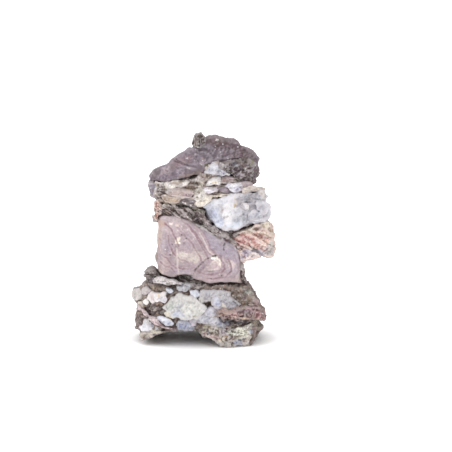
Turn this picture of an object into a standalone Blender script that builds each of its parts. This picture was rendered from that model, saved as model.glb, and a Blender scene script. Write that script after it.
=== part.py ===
"""A bonsai accent rock: one upright stone of tilted mauve schist beds with milky quartz in them.

Each bed and each quartz lump is a block. Its face outline is drawn as it is seen square to the
bedding, x to the right and w up the stone, and is extruded back along the dip. Cleavage planes then
trim the block to its plan and split its front and back. The blocks are roughened one by one, fused
into one solid, cut flat where the stone stands, and thinned out to a light faceted mesh.

Outlines and planes are in millimetres. The stone is built in metres, +Z up, with its front to -Y.
"""

from itertools import product
from math import cos, pi, radians, sin

import bmesh
import bpy
import numpy as np
from mathutils import Matrix, Vector

MM = 0.001
DIP = radians(8)  # the beds sink towards the back by this angle
PRISM_DEPTH = 220  # deeper than the stone, so that cleavage planes end every block
BED_VOXEL = 1.5  # how finely one block is roughened
STONE_VOXEL = 1.3  # how finely the fused stone is meshed before it is thinned out
STONE_FACES = 9400
SCHIST_COLOUR = (0.33, 0.27, 0.28, 1)
LEDGE_RISE = 6.5  # thickness of the layers that break into ledges
TILTED_LATTICE = np.array(Matrix.Rotation(0.9, 3, (0.4, 0.7, 0.6)))

# How rough a block is: broad lumps, ledges along the bedding, and broken facets, each as a depth.
SMOOTH_SLATE = (0.8, 0.4, 1.2)
WEATHERED_SLATE = (1.3, 1.0, 3.0)
ROUGH_SCHIST = (1.0, 2.6, 2.6)
SPLINTERY_SCHIST = (0.6, 3.2, 2.0)
BROKEN_QUARTZ = (0.5, 0.0, 3.4)

# Plans, anticlockwise from the left and convex: x to the right, y to the back.
CAP_PLAN = [(-55, -6), (-46, -26), (-18, -40), (24, -40), (46, -30), (57, -8), (54, 16), (30, 34),
            (-6, 38), (-38, 26)]
BAND_PLAN = [(-52, -14), (-45, -29), (-20, -37), (20, -39), (50, -33), (62, -12), (56, 14), (30, 30),
             (-12, 34), (-40, 24)]
QUARTZ_PLAN = [(-4, -30), (8, -41), (30, -44), (56, -37), (67, -16), (61, 12), (30, 20), (-4, 16)]
SEAM_PLAN = [(-48, -10), (-43, -28), (-12, -38), (30, -38), (45, -26), (46, 12), (22, 28), (-15, 33),
             (-42, 22)]
LEDGE_PLAN = [(14, -30), (45, -39), (64, -31), (70, -6), (65, 18), (42, 28), (14, 20)]
MAUVE_PLAN = [(-48, -8), (-44, -28), (-36, -35), (0, -37), (34, -35), (41, -20), (43, 10), (28, 28),
              (-8, 34), (-38, 26)]
THIN_PLAN = [(-55, -10), (-49, -32), (-22, -41), (2, -41), (14, -30), (10, 24), (-36, 28), (-54, 8)]
BASE_PLAN = [(-70, -4), (-64, -26), (-50, -38), (-15, -44), (22, -45), (50, -39), (62, -16), (60, 14),
             (44, 36), (8, 45), (-34, 41), (-62, 22)]
FOOT_PLAN = [(-8, -36), (4, -44), (26, -48), (46, -43), (59, -22), (56, 14), (42, 36), (16, 40),
             (-4, 24)]
INNER_PLAN = [(-62, -4), (-50, -24), (-20, -31), (22, -32), (46, -26), (60, -10), (57, 8), (32, 22),
              (-10, 27), (-42, 20)]

# The rock seen between the beds, which they all grow from.
INNER_ROCK = [(-45, 148), (-38, 158), (-18, 166), (20, 168), (46, 162), (44, 148), (54, 138),
              (55, 118), (46, 108), (60, 104), (60, 88), (38, 80), (31, 66), (34, 54), (44, 44),
              (50, 28), (46, 12), (30, 6), (10, 12), (-8, 20), (-30, 20), (-50, 14), (-58, 28),
              (-60, 42), (-48, 50), (-41, 58), (-40, 80), (-38, 104), (-38, 128), (-44, 140)]

# name, face outline, plan, front facets, back facets, roughness. A facet is its y at the middle of
# the outline, and how far it leans in y for each millimetre across and up.
BEDS = [
    ("cap",
     [(-52, 151), (-51, 155), (-48, 161), (-41, 166), (-34, 169), (-29, 174), (-22, 178), (-17, 183),
      (-11, 184), (2, 195), (10, 196), (18, 195), (29, 193), (34, 191), (38, 186), (44, 183),
      (50, 177), (54, 170), (54, 163), (52, 156), (48, 152), (43, 152), (41, 163), (38, 172),
      (28, 170), (17, 169), (10, 167), (4, 162), (-3, 158), (-12, 156), (-22, 154), (-36, 152)],
     CAP_PLAN, [(-31, 0.03, 0.55)], [(30, 0.05, -0.5)], WEATHERED_SLATE),
    ("cap_left_plate",
     [(-52, 151), (-51, 155), (-48, 161), (-41, 166), (-31, 171), (-20, 174), (-10, 171), (1, 167),
      (5, 163), (0, 159), (-7, 157), (-12, 156), (-22, 154), (-36, 151)],
     CAP_PLAN, [(-37, 0.02, 0.62)], [(20, 0, 0)], WEATHERED_SLATE),
    ("cap_crest_knob",
     [(-11, 183), (-12, 190), (-9, 194), (-7, 198), (-5, 197), (-1, 198), (4, 195), (5, 190), (4, 184),
      (-3, 180)],
     None, [(-21, -0.6, 0.1), (-20, 0.7, 0.1)], [(6, 0, 0)], SPLINTERY_SCHIST),
    ("cap_rough_underside",
     [(15, 169), (28, 171), (38, 173), (44, 165), (45, 155), (48, 149), (42, 146), (34, 151),
      (24, 158), (17, 163)],
     CAP_PLAN, [(-33, 0.1, 0.15)], [(26, 0, 0)], ROUGH_SCHIST),
    ("upper_band",
     [(-51, 153), (-36, 153), (-22, 154), (-7, 158), (7, 168), (15, 170), (23, 161), (34, 153),
      (42, 147), (51, 146), (58, 145), (45, 141), (32, 139), (20, 136), (11, 133), (3, 127), (-7, 124),
      (-16, 128), (-30, 128), (-43, 130), (-44, 133), (-48, 138), (-51, 144)],
     BAND_PLAN, [(-35, 0, -0.08)], [(30, 0.05, 0.1)], ROUGH_SCHIST),
    ("quartz_tongue",
     [(2, 159), (7, 167), (16, 169), (24, 159), (12, 156)],
     None, [(-37, 0.15, 0.2)], [(-10, 0, 0)], BROKEN_QUARTZ),
    ("blue_quartz_lens",
     [(30, 150), (36, 151), (42, 149), (44, 143), (36, 141), (32, 144)],
     None, [(-40, 0.2, 0.1)], [(-10, 0, 0)], BROKEN_QUARTZ),
    ("pink_lens",
     [(-37, 139), (-32, 143), (-18, 144), (-14, 138), (-16, 133), (-30, 131)],
     None, [(-37, -0.1, 0.25)], [(-10, 0, 0)], SMOOTH_SLATE),
    ("mauve_lens",
     [(-30, 133), (-18, 135), (-12, 131), (-16, 126), (-24, 129)],
     None, [(-38, -0.1, 0.3)], [(-10, 0, 0)], SMOOTH_SLATE),
    ("quartz_block",
     [(1, 129), (4, 132), (9, 135), (20, 138), (30, 140), (38, 142), (48, 143), (57, 146), (59, 139),
      (60, 133), (64, 127), (64, 121), (60, 114), (52, 112), (43, 109), (35, 107), (24, 106),
      (15, 108), (10, 115), (4, 122)],
     QUARTZ_PLAN, [(-41, -0.18, 0.12), (-40, 0.3, -0.05)], [(14, 0.1, 0.1)], BROKEN_QUARTZ),
    ("dark_seam",
     [(-44, 132), (-30, 130), (-16, 130), (-6, 126), (4, 128), (10, 117), (18, 108), (25, 101),
      (32, 96), (40, 89), (44, 83), (38, 83), (30, 88), (14, 97), (-2, 107), (-14, 113), (-26, 116),
      (-42, 117), (-46, 123), (-46, 129)],
     SEAM_PLAN, [(-36, 0, 0)], [(28, 0, 0.1)], SPLINTERY_SCHIST),
    ("right_ledge",
     [(22, 98), (32, 104), (41, 108), (57, 114), (62, 116), (68, 111), (68, 96), (67, 86), (63, 80),
      (53, 82), (45, 78), (38, 75), (34, 81)],
     LEDGE_PLAN, [(-38, 0.1, 0.12)], [(22, 0, 0.2)], ROUGH_SCHIST),
    ("mauve_block",
     [(-43, 119), (-26, 119), (-14, 116), (-2, 110), (14, 100), (32, 90), (37, 86), (36, 79), (37, 71),
      (40, 64), (39, 61), (43, 52), (32, 55), (18, 55), (8, 54), (-1, 57), (-6, 59), (-10, 60),
      (-17, 62), (-29, 60), (-40, 63), (-43, 68), (-46, 79), (-44, 90), (-44, 98), (-42, 106)],
     MAUVE_PLAN, [(-36, 0, -0.04)], [(30, 0.05, 0.08)], SMOOTH_SLATE),
    ("thin_ledge",
     [(-54, 66), (-51, 70), (-46, 67), (-43, 62), (-34, 60), (-26, 58), (-12, 57), (-1, 54), (8, 52),
      (-10, 48), (-36, 49), (-54, 53), (-55, 60)],
     THIN_PLAN, [(-41, 0.02, 0.3)], [(26, 0, 0)], SPLINTERY_SCHIST),
    ("base",
     [(-60, 49), (-56, 55), (-36, 53), (-17, 51), (12, 53), (42, 53), (46, 50), (50, 43), (54, 37),
      (57, 29), (60, 22), (53, 18), (57, 11), (52, 5), (47, -6), (45, -16), (36, -16), (24, -6),
      (11, 2), (3, 6), (-3, 11), (-12, 12), (-26, 12), (-41, 7), (-51, 1), (-58, 0), (-62, 7),
      (-66, 11), (-66, 19), (-65, 31), (-66, 36), (-68, 42), (-67, 47)],
     BASE_PLAN, [(-42, 0, 0.1)], [(40, 0, -0.1)], ROUGH_SCHIST),
    ("white_quartz",
     [(-52, 44), (-49, 46), (-44, 46), (-35, 46), (-35, 42), (-36, 37), (-42, 38), (-50, 38),
      (-52, 41)],
     None, [(-44, -0.2, 0.2)], [(-10, 0, 0)], BROKEN_QUARTZ),
    ("large_base_quartz",
     [(-37, 32), (-32, 37), (-30, 42), (-24, 46), (-15, 43), (-9, 42), (-3, 35), (4, 31), (3, 28),
      (-8, 24), (-17, 21), (-22, 21), (-30, 22), (-32, 28)],
     None, [(-47, -0.12, 0.22), (-47, 0.15, -0.1)], [(-10, 0, 0)], BROKEN_QUARTZ),
    ("grey_base_quartz",
     [(-2, 47), (5, 48), (15, 47), (26, 46), (33, 38), (36, 34), (32, 31), (24, 31), (18, 29),
      (10, 35), (-2, 40)],
     None, [(-45, 0.1, 0.2), (-46, 0.25, -0.1)], [(-10, 0, 0)], BROKEN_QUARTZ),
    ("lilac_quartz",
     [(3, 29), (7, 33), (13, 30), (14, 27), (10, 24), (3, 25)],
     None, [(-46, 0.1, 0)], [(-10, 0, 0)], BROKEN_QUARTZ),
    ("low_quartz",
     [(-8, 22), (-3, 24), (4, 24), (14, 24), (15, 20), (22, 15), (24, 14), (19, 13), (10, 14), (4, 17),
      (-8, 20)],
     None, [(-46, 0.1, 0.3)], [(-10, 0, 0)], BROKEN_QUARTZ),
    ("blue_quartz",
     [(-26, 15), (-24, 19), (-20, 21), (-15, 21), (-9, 15), (-8, 13), (-12, 11), (-17, 10), (-24, 12)],
     None, [(-45, 0, 0.35)], [(-10, 0, 0)], BROKEN_QUARTZ),
    ("left_foot_quartz",
     [(-60, 12), (-57, 18), (-53, 22), (-49, 20), (-44, 15), (-40, 12), (-45, 10), (-52, 8), (-59, 9)],
     None, [(-36, -0.35, 0.2)], [(10, 0, 0)], BROKEN_QUARTZ),
    ("small_quartz",
     [(-44, 22), (-40, 23), (-35, 22), (-30, 21), (-28, 15), (-33, 14), (-38, 17)],
     None, [(-43, -0.1, 0.2)], [(-10, 0, 0)], BROKEN_QUARTZ),
    ("slanted_plate",
     [(-62, 34), (-59, 31), (-52, 26), (-43, 20), (-36, 15), (-27, 12), (-28, 10), (-35, 11),
      (-42, 15), (-50, 21), (-57, 27), (-62, 30)],
     BASE_PLAN, [(-43, -0.25, 0)], [(10, 0, 0)], SMOOTH_SLATE),
    ("rusty_bed",
     [(14, 28), (19, 30), (28, 30), (36, 32), (48, 33), (54, 34), (57, 28), (60, 23), (59, 20),
      (52, 20), (44, 21), (36, 20), (28, 20), (18, 22)],
     FOOT_PLAN, [(-46, 0.12, 0.1)], [(30, 0, 0)], SPLINTERY_SCHIST),
    ("right_foot",
     [(-6, 17), (-2, 19), (7, 17), (14, 14), (20, 12), (30, 13), (38, 16), (46, 18), (52, 17),
      (56, 11), (49, 5), (45, 0), (45, -16), (36, -16), (24, -8), (14, -3), (6, 2), (0, 4), (-3, 8)],
     FOOT_PLAN, [(-47, 0.05, 0.1)], [(36, 0, 0)], ROUGH_SCHIST),
    ("back_upper_quartz",
     [(-30, 141), (-12, 150), (8, 146), (16, 133), (2, 126), (-22, 129)],
     None, [(10, 0, 0)], [(37, 0.1, 0.1), (38, -0.15, -0.1)], BROKEN_QUARTZ),
    ("back_lower_quartz",
     [(-36, 24), (-30, 42), (-8, 46), (6, 38), (2, 22), (-18, 17)],
     None, [(10, 0, 0)], [(47, -0.12, -0.1), (47, 0.2, 0.1)], BROKEN_QUARTZ),
]

# Open gaps under overhanging beds: face outline, then the front and back of the cut.
GAPS = [
    ([(-28, 60), (-19, 63), (-13, 63), (-9, 58), (-17, 57)], (-60, -26)),
    ([(23, 104), (32, 105), (43, 108), (38, 103), (27, 101)], (-60, -31)),
    ([(18, 15), (32, 18), (47, 19), (48, 16), (34, 12), (22, 12)], (-60, -36)),
    ([(24, 166), (29, 163), (36, 157), (41, 151), (36, 150), (27, 157)], (-60, -28)),
]

# The hollow under the stone that leaves it standing on three feet, as an egg.
HOLLOW_CENTRE = (6, 0, -6)
HOLLOW_REACH = (70, 24, 20)

GROUND_SIDE = 300
GROUND_DEPTH = 60


def clear_scene():
    for old in list(bpy.data.objects):
        bpy.data.objects.remove(old)


def corner_values(corner, seed):
    """A fixed random value from -1 to 1 for each corner of a lattice."""
    mixed = corner[:, 0] * 73856093 ^ corner[:, 1] * 19349663 ^ corner[:, 2] * 83492791 ^ seed * 26544357
    mixed = (mixed ^ (mixed >> 13)) * 1274126177 & 0x7FFFFFFF
    return ((mixed ^ (mixed >> 16)) & 0xFFFF) / 32767.5 - 1


def soft_noise(points, cell, seed):
    """Rounded lumps from -1 to 1: the values at the lattice corners, eased between them."""
    place = points / cell + 0.37 * seed
    corner = np.floor(place).astype(np.int64)
    share = place - corner
    share = share * share * (3 - 2 * share)
    total = np.zeros(len(points))
    for step in product((0, 1), repeat=3):
        total += corner_values(corner + step, seed) * np.where(step, share, 1 - share).prod(axis=1)
    return total


def facet_noise(points, cell, seed):
    """Broken facets from -1 to 1: the values at the corners of a tilted lattice, joined by flat faces."""
    place = points @ TILTED_LATTICE / cell + 0.61 * seed
    corner = np.floor(place).astype(np.int64)
    share = place - corner
    order = np.argsort(-share, axis=1)
    ranked = np.take_along_axis(share, order, axis=1)
    total = corner_values(corner, seed) * (1 - ranked[:, 0])
    rows = np.arange(len(points))
    for rank in range(3):
        corner[rows, order[:, rank]] += 1
        below = ranked[:, rank + 1] if rank < 2 else 0
        total += corner_values(corner, seed) * (ranked[:, rank] - below)
    return total


def up_the_beds(points):
    """How far up the bedding each point lies, in millimetres, with a gentle wave in the beds."""
    w = points[:, 2] * cos(DIP) + points[:, 1] * sin(DIP)
    return w + 2.5 * soft_noise(points, 34, 5)


def relief(points, roughness):
    """Depth that a roughened face moves out by: lumps, ledges that overhang, and broken facets."""
    lumps, ledges, facets = roughness
    layer = up_the_beds(points) / LEDGE_RISE
    step = np.floor(layer)
    within = layer - step
    shelf = np.column_stack([points[:, :2] / 15, step * 3.7])
    return (
        lumps * soft_noise(points, 20, 1)
        + ledges * (0.8 * soft_noise(shelf, 1.0, 9) - 0.7 * (1 - within) ** 2)
        + facets * (0.7 * facet_noise(points, 14, 3) + 0.4 * facet_noise(points, 6, 4))
    )


def outline_prism(name, outline, depth):
    """A face outline made solid along the dip, reaching depth each way."""
    curve = bpy.data.curves.new(name, "CURVE")
    curve.dimensions = "2D"
    curve.fill_mode = "BOTH"
    curve.extrude = depth * MM / 2
    spline = curve.splines.new("POLY")
    spline.points.add(len(outline) - 1)
    for point, (x, w) in zip(spline.points, outline):
        point.co = (x * MM, w * MM, 0, 1)
    spline.use_cyclic_u = True
    shape = bpy.data.objects.new(name, curve)
    shape.rotation_euler = (pi / 2 - DIP, 0, 0)
    bpy.context.scene.collection.objects.link(shape)
    solid = as_mesh_object(shape)
    bpy.data.objects.remove(shape)
    return solid


def as_mesh_object(source):
    """The evaluated form of an object as a new mesh object, its place baked into its mesh."""
    bpy.context.view_layer.update()
    graph = bpy.context.evaluated_depsgraph_get()
    mesh = bpy.data.meshes.new_from_object(source.evaluated_get(graph))
    mesh.transform(source.matrix_world)
    work = bmesh.new()
    work.from_mesh(mesh)
    bmesh.ops.remove_doubles(work, verts=work.verts, dist=0.00001)
    bmesh.ops.recalc_face_normals(work, faces=work.faces)
    work.to_mesh(mesh)
    work.free()
    made = bpy.data.objects.new(source.name, mesh)
    bpy.context.scene.collection.objects.link(made)
    return made


def split_along(solid, point, outward):
    """Cleaves a solid by a plane, drops what lies outside it and closes the new face."""
    work = bmesh.new()
    work.from_mesh(solid.data)
    cut = bmesh.ops.bisect_plane(
        work, geom=work.verts[:] + work.edges[:] + work.faces[:], dist=0.0000001,
        plane_co=point, plane_no=outward, clear_outer=True)
    rim = [item for item in cut["geom_cut"] if isinstance(item, bmesh.types.BMEdge)]
    if rim:
        bmesh.ops.holes_fill(work, edges=rim)
    work.to_mesh(solid.data)
    work.free()


def trim_to_plan(solid, plan):
    """Cleaves the solid upright along each side of a convex plan."""
    for (x0, y0), (x1, y1) in zip(plan, plan[1:] + plan[:1]):
        split_along(solid, Vector((x0, y0, 0)) * MM, Vector((y1 - y0, x0 - x1, 0)))


def split_facets(solid, outline, facets, side):
    """Cleaves the front (side -1) or the back (side 1) by leaning facets."""
    middle_x, middle_w = np.mean(outline, axis=0)
    for y, across, up in facets:
        middle = Vector((middle_x, y, (middle_w - y * sin(DIP)) / cos(DIP))) * MM
        split_along(solid, middle, Vector((-across, 1, -up)) * side)


def meshed(solid, voxel):
    """The solid with an even mesh of this voxel size."""
    remesh = solid.modifiers.new("even mesh", "REMESH")
    remesh.mode = "VOXEL"
    remesh.voxel_size = voxel * MM
    made = as_mesh_object(solid)
    name = solid.name
    bpy.data.objects.remove(solid)
    made.name = name
    return made


def roughen(solid, roughness):
    """Moves each point of an evenly meshed solid along its normal by the relief."""
    mesh = solid.data
    count = len(mesh.vertices)
    points = np.empty(count * 3)
    mesh.vertices.foreach_get("co", points)
    points = points.reshape(-1, 3)
    normals = np.empty(count * 3)
    mesh.vertex_normals.foreach_get("vector", normals)
    depth = relief(points / MM, roughness) * MM
    points = points + normals.reshape(-1, 3) * depth[:, None]
    mesh.vertices.foreach_set("co", points.ravel())
    mesh.update()


def block(name, outline, plan, front, back, roughness):
    """One bed or lump: outline made solid, cleaved to its plan and facets, then roughened."""
    solid = outline_prism(name, outline, PRISM_DEPTH)
    if plan:
        trim_to_plan(solid, plan)
    split_facets(solid, outline, front, -1)
    split_facets(solid, outline, back, 1)
    solid = meshed(solid, BED_VOXEL)
    roughen(solid, roughness)
    return solid


def gap(outline, reach):
    """The open space under an overhang, between two depths."""
    cutter = outline_prism("gap", outline, PRISM_DEPTH)
    near, far = reach
    split_facets(cutter, outline, [(near, 0, 0)], -1)
    split_facets(cutter, outline, [(far, 0, 0)], 1)
    return cutter


def hollow():
    """The broken hollow under the stone."""
    bpy.ops.mesh.primitive_uv_sphere_add(segments=32, ring_count=16, radius=1)
    ball = bpy.context.object
    ball.location = Vector(HOLLOW_CENTRE) * MM
    ball.scale = Vector(HOLLOW_REACH) * MM
    egg = meshed(as_mesh_object(ball), BED_VOXEL)
    bpy.data.objects.remove(ball)
    roughen(egg, ROUGH_SCHIST)
    egg.name = "underside_hollow"
    return egg


def ground():
    """The space below the surface that the stone stands on."""
    bpy.ops.mesh.primitive_cube_add(size=1)
    cutter = bpy.context.object
    cutter.name = "ground"
    cutter.scale = Vector((GROUND_SIDE, GROUND_SIDE, GROUND_DEPTH)) * MM
    cutter.location = (0, 0, -GROUND_DEPTH * MM / 2)
    return cutter


def joined(name, solids):
    """Several solids as one object, still overlapping."""
    work = bmesh.new()
    for solid in solids:
        work.from_mesh(solid.data)
        bpy.data.objects.remove(solid)
    mesh = bpy.data.meshes.new(name)
    work.to_mesh(mesh)
    work.free()
    made = bpy.data.objects.new(name, mesh)
    bpy.context.scene.collection.objects.link(made)
    return made


def cut_away(solid, cutter):
    """Takes the cutter's space out of the solid, and keeps the cutter as a hidden guide."""
    cut = solid.modifiers.new("cut by " + cutter.name, "BOOLEAN")
    cut.operation = "DIFFERENCE"
    cut.object = cutter
    cutter.hide_render = True
    cutter.display_type = "WIRE"


def schist():
    """Dull mauve-grey rock."""
    finish = bpy.data.materials.new("schist")
    finish.use_nodes = True
    shader = finish.node_tree.nodes["Principled BSDF"]
    shader.inputs["Base Color"].default_value = SCHIST_COLOUR
    shader.inputs["Roughness"].default_value = 0.85
    shader.inputs["Metallic"].default_value = 0
    return finish


def collection_with(name, objects):
    kept = bpy.data.collections.new(name)
    bpy.context.scene.collection.children.link(kept)
    for item in objects:
        for old in list(item.users_collection):
            old.objects.unlink(item)
        kept.objects.link(item)


def main():
    clear_scene()
    inner = block("inner_rock", INNER_ROCK, INNER_PLAN, [(-31, 0, 0)], [(26, 0, 0)], ROUGH_SCHIST)
    blocks = [inner] + [block(*bed) for bed in BEDS]
    fused = meshed(joined("rock", blocks), STONE_VOXEL)

    cutters = [gap(*space) for space in GAPS] + [hollow(), ground()]
    for cutter in cutters[:-1]:
        cut_away(fused, cutter)
    rock = meshed(fused, STONE_VOXEL)

    thin_out = rock.modifiers.new("fewer faces", "DECIMATE")
    thin_out.ratio = STONE_FACES / (2 * len(rock.data.polygons))
    cut_away(rock, cutters[-1])
    rock.data.materials.append(schist())
    collection_with("bonsai_accent_rock", [rock])
    collection_with("cutters", cutters)


main()
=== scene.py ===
from itertools import product
from math import cos, radians, sin

import bpy
import numpy as np
from mathutils import Matrix, Vector


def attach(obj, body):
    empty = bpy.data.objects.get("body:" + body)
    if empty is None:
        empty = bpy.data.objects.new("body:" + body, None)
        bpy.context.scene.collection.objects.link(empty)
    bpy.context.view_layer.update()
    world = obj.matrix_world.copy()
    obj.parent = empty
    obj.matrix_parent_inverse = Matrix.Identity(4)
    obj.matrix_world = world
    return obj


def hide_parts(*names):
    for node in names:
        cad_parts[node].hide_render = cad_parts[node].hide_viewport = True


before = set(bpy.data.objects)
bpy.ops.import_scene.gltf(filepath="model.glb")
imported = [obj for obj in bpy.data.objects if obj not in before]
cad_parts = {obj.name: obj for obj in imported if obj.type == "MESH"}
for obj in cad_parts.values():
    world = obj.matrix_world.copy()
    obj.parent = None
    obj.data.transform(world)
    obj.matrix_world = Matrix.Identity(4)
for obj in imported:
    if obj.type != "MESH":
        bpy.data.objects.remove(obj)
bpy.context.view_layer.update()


# The rock between the beds: dark mica schist that the whole stone grows from. It formed in thin
# layers, which tilt back by the dip, and it shows in the cracks between the beds and under the stone.

# Lengths are in millimetres until a mesh is made.
MM = 0.001
DIP = radians(8)  # how far the beds sink to the back
LEDGE_RISE = 6.5  # the height of one ledge along the beds
MAP_STEP = 0.5  # between the points of a map of distances
RAY_STEP, RAY_LIMIT = 0.12, 6  # shares of a ray's own length
LEAST_SPACING = 0.35  # between the points of a grid
FINE_CURVE_DEPTH, BROAD_CURVE_DEPTH = 0.24, 1.2  # depth below the surface around it, over its spacing
TILTED_LATTICE = np.array(Matrix.Rotation(0.9, 3, (0.4, 0.7, 0.6)))

# Depth in millimetres of lumps, ledges and broken facets, then of thin layers, chips and pits.
SMOOTH_SLATE = (0.8, 0.4, 1.2, 0.06, 0.10, 0.15)
WEATHERED_SLATE = (1.0, 0.4, 2.8, 0.15, 0.55, 0.5)
CAP_SLATE = (0.8, 0.0, 2.0, 0.0, 0.85, 0.5)
ROUGH_SCHIST = (1.0, 2.4, 2.6, 0.8, 1.3, 1.3)
SPLINTERY_SCHIST = (0.6, 3.0, 2.0, 1.2, 1.1, 1.4)
SLIVERED_SEAM = (0.6, 3.2, 2.0, 1.0, 1.2, 1.4)
BROKEN_QUARTZ = (0.4, 0.0, 2.2, 0.00, 1.0, 0.3)
COBBLED_QUARTZ = (0.5, 0.0, 4.6, 0.00, 1.1, 0.3)
WORN_SLATE = (0.7, 0.0, 0.8, 0.00, 0.15, 0.15)
CRUMBLY_SCHIST = (1.0, 1.0, 3.0, 0.1, 1.9, 1.6)
PINK_LEDGE = (0.6, 1.6, 3.4, 0.0, 1.1, 0.9)
STRIATED_KNOB = (0.4, 0.0, 2.0, 0.35, 0.7, 0.4)

INNER_PLAN = [(-62, -4), (-50, -24), (-20, -31), (22, -32), (46, -26), (60, -10), (57, 8), (32, 22),
              (-10, 27), (-42, 20)]
INNER_ROCK = [(-45, 148), (-38, 158), (-18, 166), (20, 168), (46, 162), (44, 148), (54, 138),
              (55, 118), (46, 108), (60, 104), (60, 88), (38, 80), (31, 66), (34, 54), (44, 44),
              (50, 28), (46, 12), (30, 6), (10, 12), (-8, 20), (-30, 20), (-50, 14), (-58, 28),
              (-60, 42), (-48, 50), (-41, 58), (-40, 80), (-38, 104), (-38, 128), (-44, 140)]

HOLLOW_CENTRE = np.array((6, 0, -6))
HOLLOW_REACH = np.array((70, 24, 20))

blocks_of = {}
points_of = {}


def corner_values(corner, seed):
    """A fixed random value from -1 to 1 for each corner of a lattice."""
    mixed = corner[:, 0] * 73856093 ^ corner[:, 1] * 19349663 ^ corner[:, 2] * 83492791 ^ seed * 26544357
    mixed = (mixed ^ (mixed >> 13)) * 1274126177 & 0x7FFFFFFF
    return ((mixed ^ (mixed >> 16)) & 0xFFFF) / 32767.5 - 1


def soft_noise(points, cell, seed):
    """Rounded lumps from -1 to 1: the values at the lattice corners, eased between them."""
    place = points / cell + 0.37 * seed
    corner = np.floor(place).astype(np.int64)
    share = place - corner
    share = share * share * (3 - 2 * share)
    total = np.zeros(len(points))
    for step in product((0, 1), repeat=3):
        total += corner_values(corner + step, seed) * np.where(step, share, 1 - share).prod(axis=1)
    return total


def facet_noise(points, cell, seed):
    """Broken facets from -1 to 1: the values at the corners of a tilted lattice, joined by flat faces."""
    place = points @ TILTED_LATTICE / cell + 0.61 * seed
    corner = np.floor(place).astype(np.int64)
    share = place - corner
    order = np.argsort(-share, axis=1)
    ranked = np.take_along_axis(share, order, axis=1)
    total = corner_values(corner, seed) * (1 - ranked[:, 0])
    rows = np.arange(len(points))
    for rank in range(3):
        corner[rows, order[:, rank]] += 1
        below = ranked[:, rank + 1] if rank < 2 else 0
        total += corner_values(corner, seed) * (ranked[:, rank] - below)
    return total


def height_on_face(points):
    """How far up the face each point is seen: its height square to the dip."""
    return points[:, 2] * cos(DIP) + points[:, 1] * sin(DIP)


def layered(points, rise, reach, seed, lean=0.0):
    """Layers of one rise: how far each stands out at random, less an undercut at the foot of each.
    They climb to the left by the angle of lean."""
    height = height_on_face(points) * cos(lean) + points[:, 0] * sin(lean)
    layer = (height + 2.5 * soft_noise(points, 34, 5)) / rise
    step = np.floor(layer)
    shelf = np.column_stack([points[:, :2] / reach, step * 3.7])
    return 0.8 * soft_noise(shelf, 1.0, seed) - 0.7 * (1 - layer + step) ** 2


def coarse_relief(points, roughness, lean):
    """The relief that shows from a step away: lumps, ledges along the beds, and broken facets."""
    lumps, ledges, facets = roughness[:3]
    return (
        lumps * soft_noise(points, 20, 1)
        + ledges * layered(points, LEDGE_RISE, 15, 9, lean)
        + facets * (0.7 * facet_noise(points, 14, 3) + 0.4 * facet_noise(points, 6, 4))
    )


def fine_relief(points, roughness, lean):
    """The relief that shows from close by: thin layers, chips in two sizes, and scattered pits."""
    layers, chips, pits = roughness[3:]
    wavy = points + 0.9 * soft_noise(points, 8, 21)[:, None] * (sin(lean), 0, cos(lean))
    return (
        layers * layered(wavy, 1.9, 6, 22, lean)
        + chips * (0.7 * facet_noise(points, 3.4, 23) + 0.45 * facet_noise(points, 1.7, 24))
        - pits * 2 * np.clip(soft_noise(points, 2.6, 25) - 0.45, 0, 1)
    )


def edge_distance(across, up, start, end):
    """The square of the distance on the face from each point to the straight edge from start to end."""
    (x0, w0), (x1, w1) = start, end
    run, rise = x1 - x0, w1 - w0
    along = np.clip(((across - x0) * run + (up - w0) * rise) / (run**2 + rise**2), 0, 1)
    return (across - x0 - along * run) ** 2 + (up - w0 - along * rise) ** 2


def outline_distance(across, up, outline):
    """Distance outside an outline, negative inside: the least distance to an edge, with its sign
    from whether a line to the right crosses an odd number of edges."""
    nearest = np.full(len(across), 1e9)
    inside = np.zeros(len(across), bool)
    for (x0, w0), (x1, w1) in zip(outline, outline[1:] + outline[:1]):
        nearest = np.minimum(nearest, edge_distance(across, up, (x0, w0), (x1, w1)))
        if w0 != w1:
            inside ^= ((w0 > up) != (w1 > up)) & (across < x0 + (up - w0) * (x1 - x0) / (w1 - w0))
    return np.where(inside, -1, 1) * np.sqrt(nearest)


def ragged(outline, step, depth, seed):
    """An outline broken up: points are added along its edges, a step apart, and moved by noise."""
    corners = np.array(outline, float)
    points = []
    for start, end in zip(corners, np.roll(corners, -1, axis=0)):
        count = max(1, round(np.hypot(*(end - start)) / step))
        points.append(start + (end - start) * (np.arange(count) / count)[:, None])
    points = np.concatenate(points)
    place = np.column_stack([points[:, 0], np.zeros(len(points)), points[:, 1]])
    for axis in (0, 1):
        points[:, axis] += depth * (0.7 * facet_noise(place, 5.5, seed + axis)
                                    + 0.5 * facet_noise(place, 2.3, seed + 2 + axis))
    return [tuple(point) for point in points]


def distance_map(outline):
    """Distances outside an outline at the points of a square map of the face, for quick reading."""
    low, high = np.min(outline, axis=0) - 6, np.max(outline, axis=0) + 6
    across, up = np.arange(low[0], high[0], MAP_STEP), np.arange(low[1], high[1], MAP_STEP)
    flat_x, flat_w = (side.ravel() for side in np.meshgrid(across, up, indexing="ij"))
    return low, outline_distance(flat_x, flat_w, outline).reshape(len(across), len(up))


def read_map(points, low, distances):
    """Distances read off a map at the points, joined by straight lines between its own points."""
    place = (np.column_stack([points[:, 0], height_on_face(points)]) - low) / MAP_STEP
    place = np.clip(place, 0, np.array(distances.shape) - 1.001)
    (i, j), (u, v) = place.astype(int).T, (place % 1).T
    return ((distances[i, j] * (1 - u) + distances[i + 1, j] * u) * (1 - v)
            + (distances[i, j + 1] * (1 - u) + distances[i + 1, j + 1] * u) * v)


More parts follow.
